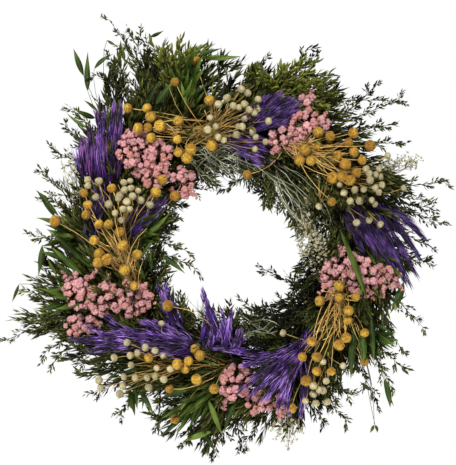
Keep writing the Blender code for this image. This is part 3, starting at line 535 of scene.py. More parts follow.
class Sheaf:
    """One piece while it grows: copies of small templates, bent along lines or set in place."""

    def __init__(self, name):
        self.name = name
        self.rng = np.random.default_rng(list(name.encode()))
        self.count = 0
        self.points = []
        self.faces = []
        self.smooth = []
        self.finish = []
        self.marks = []

    def add(self, template, points, tint, finish):
        copies, size = len(points), len(template.points)
        offset = self.count + size * np.arange(copies)
        faces = (template.faces[None] + offset[:, None, None]).reshape(-1, 3)
        self.points.append(points.reshape(-1, 3))
        self.faces.append(faces)
        self.smooth.append(np.full(len(faces), template.smooth))
        self.finish.append(np.full(len(faces), finish))
        tint = self.rng.random(copies) if tint is None else np.broadcast_to(tint, copies)
        marks = np.empty((copies, size, 3))
        marks[..., 0] = template.points[:, 2]
        marks[..., 1] = template.points[:, 0]
        marks[..., 2] = tint[:, None]
        self.marks.append(marks.reshape(-1, 3))
        self.count += copies * size

    def grow(self, template, lines, width, depth=None, finish=0, tint=None, up=None):
        """A copy bent along each line, with its half width and half depth."""
        copies = len(lines.root)
        share = np.broadcast_to(template.points[:, 2], (copies, len(template.points)))
        points, heading = lines.at(share)
        up = self.rng.normal(size=(copies, 3)) if up is None else np.broadcast_to(up, (copies, 3))
        side = unit(np.cross(up[:, None], heading))
        normal = np.cross(heading, side)
        width = np.broadcast_to(width, copies)[:, None, None]
        depth = width if depth is None else np.broadcast_to(depth, copies)[:, None, None]
        across = side * template.points[:, 0, None] * width
        through = normal * template.points[:, 1, None] * depth
        self.add(template, points + across + through, tint, finish)

    def place(self, template, centres, size, aim, finish=0, tint=None):
        """A copy at each centre, turned so that its z axis points along aim."""
        aim = unit(np.broadcast_to(aim, centres.shape))
        first = unit(np.cross(self.rng.normal(size=centres.shape), aim))
        second = np.cross(aim, first)
        x, y, z = (template.points[:, k, None] for k in range(3))
        local = first[:, None] * x + second[:, None] * y + aim[:, None] * z
        size = np.broadcast_to(size, len(centres))[:, None, None]
        self.add(template, centres[:, None] + local * size, tint, finish)

    def bind(self, materials, node):
        """Makes the mesh object, which stands for its CAD node."""
        points, faces, marks = (np.concatenate(part) for part in (self.points, self.faces, self.marks))
        behind = np.maximum(points[:, 1] - WALL, 0.0)
        points[:, 1] -= 0.8 * behind
        mesh = bpy.data.meshes.new(self.name)
        mesh.vertices.add(len(points))
        mesh.vertices.foreach_set("co", (points * MM).ravel())
        mesh.loops.add(faces.size)
        mesh.loops.foreach_set("vertex_index", faces.ravel())
        mesh.polygons.add(len(faces))
        mesh.polygons.foreach_set("loop_start", np.arange(0, faces.size, 3))
        mesh.polygons.foreach_set("material_index", np.concatenate(self.finish))
        mesh.polygons.foreach_set("use_smooth", np.concatenate(self.smooth))
        mesh.update(calc_edges=True)
        for k, kind in enumerate(("along", "across", "tint")):
            layer = mesh.attributes.new(kind, "FLOAT", "POINT")
            layer.data.foreach_set("value", np.ascontiguousarray(marks[:, k]))
        for material in materials:
            mesh.materials.append(material)
        return bound(bpy.data.objects.new(self.name, mesh), node)


def bound(piece, node):
    """Links a piece, lets it ride with the wreath and hides the CAD node that it stands for."""
    bpy.context.scene.collection.objects.link(piece)
    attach(piece, "root")
    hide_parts(node)
    return piece


def link(tree, source, target):
    tree.links.new(source, target)


def math_node(tree, operation, *values):
    """A Math node whose inputs are numbers or links."""
    node = tree.nodes.new("ShaderNodeMath")
    node.operation = operation
    for socket, value in zip(node.inputs, values):
        if isinstance(value, bpy.types.NodeSocket):
            link(tree, value, socket)
        else:
            socket.default_value = value
    return node.outputs[0]


def mix_colour(tree, blend, factor, first, second):
    """A Mix node for colours; inputs are numbers, colours or links."""
    node = tree.nodes.new("ShaderNodeMix")
    node.data_type = "RGBA"
    node.blend_type = blend
    for index, value in ((0, factor), (6, first), (7, second)):
        if isinstance(value, bpy.types.NodeSocket):
            link(tree, value, node.inputs[index])
        else:
            node.inputs[index].default_value = value
    return node.outputs[2]


def ramp(tree, value, low, high):
    """A smooth step from 0 to 1 between two values."""
    node = tree.nodes.new("ShaderNodeMapRange")
    node.interpolation_type = "SMOOTHSTEP"
    link(tree, value, node.inputs[0])
    for index, number in ((1, low), (2, high)):
        if isinstance(number, bpy.types.NodeSocket):
            link(tree, number, node.inputs[index])
        else:
            node.inputs[index].default_value = number
    return node.outputs[0]


def mark(tree, name):
    node = tree.nodes.new("ShaderNodeAttribute")
    node.attribute_name = name
    return node.outputs["Fac"]


def tissue_group():
    """Colour, roughness and relief of dried tissue: painted highlights streaked lengthwise, painted shade
    in its creases, no two copies alike.
    """
    tree = bpy.data.node_groups.new("dried tissue", "ShaderNodeTree")
    new = tree.interface.new_socket
    for name in ("Root", "Body", "Tip", "Accent"):
        new(name, in_out="INPUT", socket_type="NodeSocketColor")
    for name in ("Accent Share", "Variation", "Fibres", "Streaks", "Crease Shade", "Rib",
                 "Patch Scale", "Dullness"):
        new(name, in_out="INPUT", socket_type="NodeSocketFloat")
    new("Colour", in_out="OUTPUT", socket_type="NodeSocketColor")
    new("Roughness", in_out="OUTPUT", socket_type="NodeSocketFloat")
    new("Height", in_out="OUTPUT", socket_type="NodeSocketFloat")
    given = tree.nodes.new("NodeGroupInput").outputs
    put = tree.nodes.new("NodeGroupOutput").inputs
    length, across, tint = (mark(tree, name) for name in ("along", "across", "tint"))
    colour = mix_colour(tree, "MIX", ramp(tree, length, 0.0, 0.45), given["Root"], given["Body"])
    colour = mix_colour(tree, "MIX", ramp(tree, length, 0.5, 1.0), colour, given["Tip"])
    other = math_node(tree, "SUBTRACT", 1.0, given["Accent Share"])
    chosen = ramp(tree, math_node(tree, "FRACT", math_node(tree, "MULTIPLY", tint, 7.31)),
                  other, math_node(tree, "ADD", other, 0.12))
    colour = mix_colour(tree, "MIX", chosen, colour, given["Accent"])
    vector = tree.nodes.new("ShaderNodeCombineXYZ")
    link(tree, math_node(tree, "MULTIPLY", across, given["Fibres"]), vector.inputs[0])
    link(tree, math_node(tree, "MULTIPLY", length, 2.5), vector.inputs[1])
    link(tree, math_node(tree, "MULTIPLY", tint, 41.0), vector.inputs[2])
    fibre = tree.nodes.new("ShaderNodeTexNoise")
    fibre.inputs["Scale"].default_value = 1.0
    fibre.inputs["Detail"].default_value = 3.0
    link(tree, vector.outputs[0], fibre.inputs["Vector"])
    # Painted highlight: where the fibre noise is high the colour is screened paler, and a little glossier,
    # in streaks along the fibres
    highlight_streak = math_node(tree, "MULTIPLY", ramp(tree, fibre.outputs[0], 0.4, 0.7), given["Streaks"])
    pale = mix_colour(tree, "SCREEN", 1.0, colour, colour)
    colour = mix_colour(tree, "MIX", highlight_streak, colour, pale)
    middle = ramp(tree, math_node(tree, "ABSOLUTE", across), 0.14, 0.03)
    rib = math_node(tree, "MULTIPLY", middle, given["Rib"])
    colour = mix_colour(tree, "MIX", rib, colour, given["Accent"])
    # Painted shade: where the fibre noise is low the colour is darkened towards dark brown, as shade in
    # creases
    painted_crease_shade = math_node(tree, "MULTIPLY", ramp(tree, fibre.outputs[0], 0.5, 0.34), given["Crease Shade"])
    colour = mix_colour(tree, "MULTIPLY", painted_crease_shade, colour, (0.12, 0.10, 0.08, 1.0))
    place = tree.nodes.new("ShaderNodeTexCoord")
    patch = tree.nodes.new("ShaderNodeTexNoise")
    patch.inputs["Detail"].default_value = 2.0
    link(tree, place.outputs["Object"], patch.inputs["Vector"])
    link(tree, given["Patch Scale"], patch.inputs["Scale"])
    spread = math_node(tree, "ADD", tint, ramp(tree, patch.outputs[0], 0.35, 0.65))
    level = math_node(tree, "SUBTRACT", spread, 1.0)
    bright = math_node(tree, "ADD", 1.0, math_node(tree, "MULTIPLY", level, given["Variation"]))
    bright = math_node(tree, "MAXIMUM", bright, 0.08)
    shade = tree.nodes.new("ShaderNodeCombineColor")
    for socket in shade.inputs[:3]:
        link(tree, bright, socket)
    link(tree, mix_colour(tree, "MULTIPLY", 1.0, colour, shade.outputs[0]), put["Colour"])
    rough = math_node(tree, "SUBTRACT", given["Dullness"], math_node(tree, "MULTIPLY", highlight_streak, 0.15))
    link(tree, rough, put["Roughness"])
    link(tree, fibre.outputs[0], put["Height"])
    return tree


def tissue(name, colours, accent_share=0.1, variation=0.35, fibres=4.0, highlight_streaks=0.4, patch=40.0,
           dullness=0.8, relief=0.4, sheen=0.0, crease_shade=0.3, rib=0.0):
    """A dried plant finish; colours are its root, body, tip and accent."""
    if name in bpy.data.materials:
        return bpy.data.materials[name]
    made = bpy.data.materials.new(name)
    made.use_nodes = True
    tree = made.node_tree
    group = tree.nodes.new("ShaderNodeGroup")
    group.node_tree = bpy.data.node_groups.get("dried tissue") or tissue_group()
    for socket, colour in zip(("Root", "Body", "Tip", "Accent"), colours):
        group.inputs[socket].default_value = (*colour, 1.0)
    for socket, value in (("Accent Share", accent_share), ("Variation", variation),
                          ("Fibres", fibres), ("Streaks", highlight_streaks), ("Crease Shade", crease_shade),
                          ("Rib", rib), ("Patch Scale", patch), ("Dullness", dullness)):
        group.inputs[socket].default_value = value
    shader = tree.nodes["Principled BSDF"]
    shader.inputs["Specular IOR Level"].default_value = 0.2
    shader.inputs["Sheen Weight"].default_value = sheen
    bump = tree.nodes.new("ShaderNodeBump")
    bump.inputs["Strength"].default_value = relief
    bump.inputs["Distance"].default_value = 0.0004
    link(tree, group.outputs["Height"], bump.inputs["Height"])
    link(tree, group.outputs["Colour"], shader.inputs["Base Color"])
    link(tree, group.outputs["Roughness"], shader.inputs["Roughness"])
    link(tree, bump.outputs[0], shader.inputs["Normal"])
    return made


def wire_material(name, colour, metallic, roughness):
    """Drawn wire with faint lengthwise marks and dull patches."""
    made = bpy.data.materials.new(name)
    made.use_nodes = True
    tree = made.node_tree
    shader = tree.nodes["Principled BSDF"]
    shader.inputs["Metallic"].default_value = metallic
    place = tree.nodes.new("ShaderNodeTexCoord")
    patch = tree.nodes.new("ShaderNodeTexNoise")
    patch.inputs["Scale"].default_value = 180.0
    patch.inputs["Detail"].default_value = 4.0
    link(tree, place.outputs["Object"], patch.inputs["Vector"])
    worn = ramp(tree, patch.outputs[0], 0.4, 0.62)
    dark = tuple(0.6 * part for part in colour)
    link(tree, mix_colour(tree, "MIX", worn, (*dark, 1.0), (*colour, 1.0)), shader.inputs["Base Color"])
    rough = math_node(tree, "ADD", roughness, math_node(tree, "MULTIPLY", worn, -0.15))
    link(tree, rough, shader.inputs["Roughness"])
    bump = tree.nodes.new("ShaderNodeBump")
    bump.inputs["Strength"].default_value = 0.2
    bump.inputs["Distance"].default_value = 0.0001
    link(tree, patch.outputs[0], bump.inputs["Height"])
    link(tree, bump.outputs[0], shader.inputs["Normal"])
    return made


def length_property(name, text, default):
    return bpy.props.FloatProperty(name=name, description=text, default=default, min=0.0,
                                   precision=5, subtype="DISTANCE", unit="LENGTH")


def colour_property(name, text, default):
    return bpy.props.FloatVectorProperty(name=name, description=text, default=default, size=3,
                                         min=0.0, max=1.0, subtype="COLOR")


class WreathSizes(bpy.types.PropertyGroup):
    """Sizes of the wreath's small parts"""
    wire_radius: length_property("Ring wire radius", "Half the thickness of the ring wire", 0.002)
    binding_radius: length_property("Binding wire radius", "Half its thickness", 0.0005)
    gold_radius: length_property("Gold head radius", "Radius of a gold button head", 0.0069)
    ivory_radius: length_property("Ivory head radius", "Radius of an ivory button head", 0.0049)
    straw_radius: length_property("Stalk radius", "Half the thickness of a flower stalk", 0.00054)
    floret_radius: length_property("Floret radius", "Radius of a pink floret", 0.0057)
    leaf_width: length_property("Lance leaf half width", "Half the width of a lance leaf", 0.0043)
    chip_length: length_property("Fine leaf length", "Length of the foliage's fine leaves", 0.0083)
    chip_width: length_property("Fine leaf half width", "Half the width of a fine leaf", 0.0012)


class WreathColours(bpy.types.PropertyGroup):
    """Colours of the wreath's finishes"""
    wire: colour_property("Ring wire", "Galvanised wire", (0.36, 0.37, 0.36))
    binding: colour_property("Binding wire", "Green lacquered wire", (0.04, 0.12, 0.05))
    # Painted shade: the dark green is the colour of the fine leaves' roots deep in the bunches; it also
    # tips the twigs
    dark_green: colour_property("Foliage in shade", "Painted shade deep in the foliage", (0.011, 0.015, 0.003))
    mid_green: colour_property("Foliage", "Dried foliage", (0.030, 0.037, 0.007))
    olive: colour_property("Foliage tips", "Foliage tips and dry leaves", (0.135, 0.135, 0.028))
    twig: colour_property("Twigs", "Twigs of the foliage", (0.075, 0.062, 0.026))
    leaf: colour_property("Leaves", "Preserved lance leaves", (0.023, 0.046, 0.005))
    leaf_light: colour_property("Light leaves", "Light lance leaves", (0.086, 0.132, 0.019))
    lime: colour_property("Lime foliage", "Yellow green sprays", (0.128, 0.146, 0.018))
    pink: colour_property("Pink", "Pink florets", (0.560, 0.280, 0.285))
    salmon: colour_property("Salmon", "Deeper pink florets", (0.490, 0.212, 0.184))
    purple: colour_property("Purple", "Dyed plumes", (0.044, 0.010, 0.140))
    # Lilac: partly the plumes' paler awns, partly a painted highlight on the awns' tips
    lilac: colour_property("Lilac", "Light awns of the plumes", (0.325, 0.180, 0.515))
    magenta: colour_property("Magenta", "Pink awns of the plumes", (0.330, 0.075, 0.220))
    gold: colour_property("Gold", "Gold heads", (0.480, 0.280, 0.030))
    ochre: colour_property("Ochre", "Shaded and older gold heads", (0.330, 0.165, 0.018))
    ivory: colour_property("Ivory", "Ivory heads", (0.480, 0.410, 0.215))
    straw: colour_property("Straw", "Flower stalks", (0.600, 0.380, 0.110))
    cream: colour_property("Cream", "Filler flowers", (0.560, 0.570, 0.420))


def straw_material(name, colours, share):
    """Stalks of a share of the straw's brightness, with paler ends."""
    straw = tuple(part * share for part in colours.straw)
    pale = tuple(min(1.0, part * 1.25) for part in straw)
    return tissue(name, (straw, straw, pale, tuple(colours.ochre)), 0.15, 0.45, 2.0, 0.3, 60.0, 0.7)


def tied_stems(station, slot, sense, ends, offsets):
    """Stems held at the tie: a short tail, and a curve on to each end."""
    heading = flow(station, sense)
    tie = on_ring(station, slot[0] * SLOT_PITCH, FIRST_ROW + slot[1] * SLOT_PITCH)
    tail = tie - heading * STEM_TAIL + offsets
    neck = tie + heading * NECK_START + offsets
    reach = np.linalg.norm(ends - neck, axis=-1, keepdims=True)
    return Lines(tail, (tail + neck) / 2, neck), Lines(neck, neck + heading * reach * 0.42, ends)


def disc_offsets(rng, count, radius):
    """Offsets spread evenly through a round sheaf."""
    share = np.sqrt((np.arange(count) + 0.5) / count) * radius
    turn = np.arange(count) * GOLDEN_ANGLE
    return np.stack([share * np.cos(turn), share * np.sin(turn),
                     rng.uniform(-0.7, 0.7, count) * radius], axis=-1)


def grow_buttons(name, row, sense, radius, straw, template, materials):
    """A bunch of round heads on straw stalks that are tied together, cross and fan out."""
    station, tie, fan, spread, bare, heads = row
    sheaf = Sheaf(name + "_detail")
    rng = sheaf.rng
    count = len(heads)
    lift = rng.uniform(-7.0, 4.0, count)
    sinks, backs = np.array([(*head[2:], 0, 0)[:2] for head in heads] + [(0, 0)] * bare).T
    centres = spots([(x, z, dome(x, z) + up - back)
                     for (x, z, *_), up, back in zip(heads, lift, backs)])
    middle, heading = spot(*fan), flow(station, sense)
    nearest = np.argsort(np.linalg.norm(centres - middle, axis=-1))[:4 * count // 5]
    ends = np.concatenate([centres, centres[rng.choice(nearest, bare)]])
    shift = np.minimum(rng.uniform(-2.0, 2.0, len(ends)) * spread, (ends - middle) @ heading - 8.0)
    fans = middle + heading * np.maximum(shift, -2.0 * spread)[:, None]
    fans = fans + rng.normal(size=ends.shape) * (spread, spread * 0.6, spread) * 0.5
    short = rng.uniform(0.0, 0.5, (bare, 1))
    ends[count:] += (fans[count:] - ends[count:]) * short + rng.normal(size=(bare, 3)) * 4.0
    offsets = disc_offsets(rng, len(ends), 2.9)
    tails, necks = tied_stems(station, tie, sense, fans, offsets)
    aim = unit(necks.tip - necks.bend)
    reach = np.linalg.norm(ends - necks.tip, axis=-1, keepdims=True)
    onward = unit(ends - necks.tip) + aim * 0.3 + rng.normal(size=ends.shape) * 0.22
    bends = necks.tip + onward * reach * 0.5
    bends[:, 1] += sinks
    stalks = Lines(necks.tip, bends, ends)
    thick = straw * np.tile(rng.uniform(0.75, 1.15, len(ends)), 3)
    sheaf.grow(STALK, joined(tails, necks, stalks), thick, finish=1)
    size = radius * rng.uniform(0.86, 1.14, count)
    sheaf.place(template, centres, size, unit(stalks.tip - stalks.bend)[:count])
    sheaf.bind(materials, name)


def grow_cluster(name, row, radius, materials):
    """Pink florets crowded over small mounds, with spikes of buds at the edge."""
    station, tie, cores, spikes = row
    sheaf = Sheaf(name + "_detail")
    rng = sheaf.rng
    places, aims = [], []
    for x, z, f, wide, high, deep in cores:
        count = int(math.pi * wide * high / FLORET_AREA)
        for normal in golden_spiral(count, 1.0, -0.1):
            across, up, front = normal.x, normal.y, normal.z
            places.append((x + across * wide, z + up * high, f + front * deep * 0.9 - 2.0))
            aims.append((across * 0.8, -front - 0.15, up * 0.8))
    centres = spots(places) + rng.normal(size=(len(places), 3)) * (2.2, 3.4, 2.2)
    aims = unit(np.array(aims) + rng.normal(size=(len(aims), 3)) * 0.3)
    sheaf.place(FLORET, centres, radius * rng.uniform(0.7, 1.12, len(centres)), aims)
    middles = spots([core[:3] for core in cores])
    offsets = disc_offsets(rng, 12, 2.4)
    tails, necks = tied_stems(station, tie, 1, middles[np.arange(12) % len(middles)], offsets)
    nearest = middles[np.argmin(np.linalg.norm(centres[:, None] - middles[None], axis=-1), axis=1)]
    stems = Lines(nearest, (nearest + centres) / 2, centres)
    sheaf.grow(STALK, joined(tails, necks), 0.6, finish=1)
    sheaf.grow(TWIG, stems, 0.5, finish=1)
    tips = spots(spikes)
    roots = middles[np.argmin(np.linalg.norm(tips[:, None] - middles[None], axis=-1), axis=1)]
    spires = Lines(roots, (roots + tips) / 2, tips)
    sheaf.grow(SHOOT, spires, 0.7, finish=1)
    share = np.tile(np.linspace(0.5, 1.0, 9), (len(tips), 1))
    points, heading = spires.at(share)
    points = points.reshape(-1, 3) + rng.normal(size=(points[..., 0].size, 3)) * 1.6
    heading = heading.reshape(-1, 3) + rng.normal(size=(len(points), 3)) * 0.5
    sheaf.place(BUD, points, radius * (0.9 - 0.4 * share.ravel()), heading)
    sheaf.bind(materials, name)


def grow_plume(name, row, materials):
    """A plume of bristles: fine awns laid along its arms, leaning towards their tips."""
    station, tie, arms, spine, count, lengths, width, lean, curl, _, _ = row
    sheaf = Sheaf(name + "_detail")
    rng = sheaf.rng
    base = spots([(x, z, f - 4.0) for x, z, _, _, f in arms])
    tips = spots([(x, z, f) for _, _, x, z, f in arms])
    reach = np.linalg.norm(tips - base, axis=-1, keepdims=True)
    tips = tips - unit(tips - base) * lengths[0] * 0.5
    sag = rng.normal(size=base.shape) * reach * (0.04 + 0.12 * curl)
    sag[:, 1] = -np.abs(sag[:, 1]) - 0.04 * reach[:, 0]
    arms = Lines(base, (base + tips) / 2 + sag, tips)
    offsets = disc_offsets(rng, len(base) * 2, 2.4)
    tails, necks = tied_stems(station, tie, 1, np.concatenate([base, base]), offsets)
    sheaf.grow(STALK, joined(tails, necks), 0.6)
    spread = rng.normal(size=(3, *base.shape)) * spine
    spines = joined(*(Lines(base + shift, arms.bend + shift, tips + shift * 0.3) for shift in spread))
    sheaf.grow(LANCE, spines, spine, up=(0.0, -1.0, 0.0))
    share = rng.random((len(tips), count // len(tips))) * 1.08 - 0.08
    near = np.clip(share, 0.0, 1.0)[..., None]
    root, heading = arms.at(share)
    side = unit(rng.normal(size=root.shape) * (1.0, 0.7, 1.0))
    side = unit(side - heading * (side * heading).sum(axis=-1, keepdims=True))
    slope = lean * rng.uniform(0.1, 1.7, share.shape)[..., None] * (1.0 - 0.4 * near)
    length = rng.uniform(*lengths, share.shape)[..., None] * (1.0 - 0.5 * near)
    onward = unit(heading + side * slope)
    root = root + side * rng.uniform(0.0, 5.5, share.shape)[..., None] * (1.0 - 0.75 * near)
    bend = root + onward * length * 0.5 + side * length * curl * 0.4
    tip = root + onward * length + heading * length * curl * 0.3 - side * length * curl * 0.25
    awns = Lines(*(part.reshape(-1, 3) for part in (root, bend, tip)))
    size = width * rng.uniform(0.6, 1.4, len(awns.root))
    sheaf.grow(AWN, awns, size, size * 0.6)
    sheaf.bind(materials, name)


def grow_leafy_stem(name, row, width, materials):
    """Lance leaves on thin stalks along an arching stem."""
    station, tie, end, leaves, further = row
    sheaf = Sheaf(name + "_detail")
    rng = sheaf.rng
    tails, necks = tied_stems(station, tie, 1, spot(*end), disc_offsets(rng, 3, 1.2))
    sheaf.grow(STALK, joined(tails, necks), 0.8, finish=1)
    base = spots([(x, z, f) for x, z, _, _, f in leaves])
    tips = spots([(x, z, f + 4.0) for _, _, x, z, f in leaves])
    stem = necks.pick([0] * len(leaves))
    nodes = np.repeat(rng.uniform(0.5, 1.0, len(leaves)), 2)[:len(leaves), None]
    root = stem.at(nodes)[0][:, 0]
    turn = unit(tips - base) * np.linalg.norm(base - root, axis=-1, keepdims=True) * 0.2
    stalks = Lines(root, (root + base) / 2 * 0.4 + (base - turn) * 0.6, base)
    droop = rng.normal(size=base.shape) * 0.06 * np.linalg.norm(tips - base, axis=-1, keepdims=True)
    listed = Lines(base, (base + tips) / 2 + droop, tips)
    more = necks.pick([0]).shoots(rng, further, (0.4, 1.0), (36, 54), (16, 42), 0.12, 0.2)
    more = more.confined(rng, 8.0)
    lift = np.array([0.0, -1.0, 0.0]) * rng.uniform(12, 34, (further, 1))
    more = Lines(more.root, more.bend + lift * 0.7, more.tip + lift)
    start = more.at(np.full((further, 1), 0.15))[0][:, 0]
    stalks = joined(stalks, Lines(more.root, (more.root + start) / 2, start))
    sheaf.grow(STALK, stalks, 0.4, finish=1)
    blades = joined(listed, Lines(start, more.bend, more.tip))
    reach = np.linalg.norm(blades.tip - blades.root, axis=-1)
    wide = width * np.clip(reach / 40.0, 0.6, 1.1) * rng.uniform(0.7, 1.1, len(reach))
    up = np.array([0.0, -1.0, 0.0]) + rng.normal(size=(len(reach), 3)) * 0.3
    sheaf.grow(LANCE, blades, wide, up=up)
    sheaf.bind(materials, name)


def grow_foliage(name, station, length, width, materials):
    """A bunch of fine-leaved foliage that sweeps clockwise from its tie and spreads both ways."""
    sheaf = Sheaf(name + "_detail")
    rng = sheaf.rng
    count = 50
    share = ((np.arange(count) + rng.random(count)) / count) ** 0.8
    onward = rng.uniform(8, 42, count) + 10.0 * np.abs(share - 0.5)
    angle = station + onward
    inner = np.interp(angle % 360.0, CLOCK, INNER_REACH) + 8.0
    outer = np.interp(angle % 360.0, CLOCK, OUTER_REACH) - 16.0
    out = inner + (outer - inner) * share - RING_RADIUS
    height = 56.0 - 34.0 * np.clip(np.abs(out / 66.0), 0, 1) ** 2
    forward = 6.0 + (height - 6.0) * rng.random(count) ** 0.8
    forward[::5] = rng.uniform(4.0, 14.0, len(forward[::5]))
    root = on_ring(along(station, rng.uniform(-6, 12, count)), 0.0, FIRST_ROW)
    root = root + disc_offsets(rng, count, 3.0)
    bend = on_ring(station + onward * 0.5, out * 0.45, forward * 0.6 + 4.0)
    branches = Lines(root, bend, on_ring(angle, out, forward))
    sheaf.grow(SHOOT, branches, 0.75, finish=1)
    crotch = on_ring(along(station, 34.0), 8.0, 14.0)
    tips = spots(TWIG_TIPS[station])
    lean = np.cross(tips - crotch, [0.0, 1.0, 0.0]) * rng.uniform(-0.12, 0.12, (len(tips), 1))
    strays = Lines(crotch, (crotch + tips) / 2 + lean, tips)
    sheaf.grow(SHOOT, strays, 1.3, finish=1)
    twigs = branches.shoots(rng, 8, (0.2, 1.0), (24, 46), (10, 36), 0.08).confined(rng)
    sprigs = strays.shoots(rng, 8, (0.4, 1.0), (10, 26), (20, 55), 0.15, 0.5)
    sheaf.grow(TWIG, joined(twigs, sprigs), 0.45, finish=1)
    radius = np.hypot(twigs.tip[:, 0], twigs.tip[:, 2] + RING_RADIUS - RING_WIRE)
    far = radius > 165.0
    long_leaves = joined(
        twigs.pick(far).shoots(rng, 14, (0.05, 1.05), (1.3 * length, 2.8 * length), (8, 32), 0.1),
        branches.shoots(rng, 18, (0.08, 1.05), (1.6 * length, 3.2 * length), (8, 34), 0.12))
    fine_leaves = joined(
        twigs.pick(~far).shoots(rng, 15, (0.05, 1.05), (0.9 * length, 1.9 * length), (20, 56), 0.1),
        sprigs.shoots(rng, 8, (0.15, 1.05), (0.7 * length, 1.3 * length), (20, 50), 0.1),
        strays.shoots(rng, 16, (0.5, 1.02), (0.8 * length, 1.5 * length), (16, 44), 0.1))
    for leaves, wide in ((long_leaves, (0.8, 1.8)), (fine_leaves, (0.75, 1.5))):
        total = len(leaves.root)
        radius = np.hypot(leaves.root[:, 0], leaves.root[:, 2] + RING_RADIUS - RING_WIRE)
        # Painted shade and light: fine leaves on the inner side of the shaded bunches get tints near
        # nought and are drawn almost black; those of the lit bunches get raised tints and are drawn
        # lighter
        shade = np.where((radius < 148.0) & (station in PAINTED_SHADE_BUNCHES), 0.04, 1.0)
        sheaf.grow(CHIP, leaves, width * rng.uniform(*wide, total), width * 0.5,
                   tint=rng.random(total) * shade + 0.14 * (station in PAINTED_LIGHT_BUNCHES))
    chosen = rng.integers(0, count, BLADES[station])
    blades = branches.pick(chosen).shoots(rng, 1, (0.3, 0.95), (34, 60), (6, 26), 0.12)
    blades = blades.confined(rng, 10.0)
    sheaf.grow(AWN, blades, width * rng.uniform(1.6, 2.8, len(chosen)), width * 0.7, finish=2)
    for x0, z0, x1, z1, f, strands in STRANDS.get(station, ()):
        ends = [spot(*end, f) + rng.normal(size=(strands, 3)) * (11.0, 6.0, 11.0)
                for end in ((x0, z0), (x1, z1))]
        bow = np.cross(ends[1] - ends[0], [0.0, 1.0, 0.0]) * rng.uniform(-0.35, 0.45, (strands, 1))
        bow[:, 1] -= 8.0
        pale = Lines(ends[0], (ends[0] + ends[1]) / 2 + bow, ends[1])
        sheaf.grow(SHOOT, pale, rng.uniform(0.5, 0.75, strands), finish=3)
        forks = pale.shoots(rng, 3, (0.4, 0.95), (10, 20), (12, 30), 0.1, 0.2)
        sheaf.grow(TWIG, forks, 0.4, finish=3)
        inward = Lines(crotch, (crotch + ends[0]) / 2, ends[0])
        sheaf.grow(SHOOT, inward, 0.6, finish=1)
    sheaf.bind(materials, name)


def grow_lime_spray(name, row, length, width, materials):
    """A spray of short leafy shoots, broader leaved and brighter than the bed of foliage."""
    station, tie, end, tips = row
    sheaf = Sheaf(name + "_detail")
    rng = sheaf.rng
    tails, necks = tied_stems(station, tie, 1, spot(*end), disc_offsets(rng, 4, 1.2))
    sheaf.grow(STALK, joined(tails, necks), 0.7, finish=1)
    tips = spots(tips)
    root = necks.pick([0] * len(tips)).at(rng.uniform(0.5, 0.95, (len(tips), 1)))[0][:, 0]
    shoots = Lines(root, (root + tips) / 2 + rng.normal(size=tips.shape) * 4.0, tips)
    twigs = joined(shoots.shoots(rng, 8, (0.2, 1.0), (14, 30), (8, 34), 0.15), shoots)
    sheaf.grow(TWIG, twigs, 0.6, finish=1)
    leaves = twigs.shoots(rng, 10, (0.15, 1.05), (0.9 * length, 2.2 * length), (12, 46), 0.2)
    sheaf.grow(OVAL, leaves, width * rng.uniform(1.0, 2.1, len(leaves.root)))
    sheaf.bind(materials, name)


def grow_cream_spray(name, row, materials):
    """Thin pale stems that end in small clusters of cream flowers."""
    station, tie, end, sway, tips, flowers = row
    sheaf = Sheaf(name + "_detail")
    rng = sheaf.rng
    tips = spots(tips)
    count = len(tips)
    main = count // 3 + 1
    offsets = disc_offsets(rng, main, 1.8)
    ends = spot(*end) + rng.normal(size=offsets.shape) * 6.0
    tails, necks = tied_stems(station, tie, 1, ends, offsets)
    bends = necks.bend + np.array([sway[0], 0.0, sway[1]]) * rng.uniform(0, 1, (main, 1))
    necks = Lines(necks.root, bends, necks.tip)
    sheaf.grow(STALK, joined(tails, necks), 0.45, finish=1)
    root = necks.pick(np.arange(count) % main).at(rng.uniform(0.4, 0.95, (count, 1)))[0][:, 0]
    stems = Lines(root, (root + tips) / 2 + rng.normal(size=tips.shape) * 4.0, tips)
    sheaf.grow(SHOOT, stems, 0.6, finish=1)
    stalks = stems.shoots(rng, flowers * 2, (0.45, 1.0), (4, 10), (20, 50), 0.1)
    sheaf.grow(TWIG, stalks, 0.45, finish=1)
    size = rng.uniform(1.4, 2.5, len(stalks.tip))
    sheaf.place(PETALS, stalks.tip, size, stalks.tip - stalks.root + np.array([0.0, -3.0, 0.0]))
    sheaf.bind(materials, name)


def ring_mesh(name, radius):
    """The wire ring: a circle of wire spun round the wreath's axis."""
    bm = bmesh.new()
    bmesh.ops.create_circle(bm, segments=14, radius=radius)
    centre = Vector(spot(0, 0, 0)) * MM
    bmesh.ops.translate(bm, verts=bm.verts[:], vec=centre + Vector((RING_RADIUS * MM, 0.0, 0.0)))
    bmesh.ops.rotate(bm, verts=bm.verts[:], cent=centre, matrix=Matrix.Rotation(0.0, 3, "X"))
    bmesh.ops.spin(bm, geom=bm.verts[:] + bm.edges[:], cent=centre, axis=(0.0, 1.0, 0.0),
                   angle=math.tau, steps=160, use_merge=True)
    bmesh.ops.recalc_face_normals(bm, faces=bm.faces[:])
    mesh = bpy.data.meshes.new(name)
    bm.to_mesh(mesh)
    bm.free()
    mesh.shade_smooth()
    return mesh


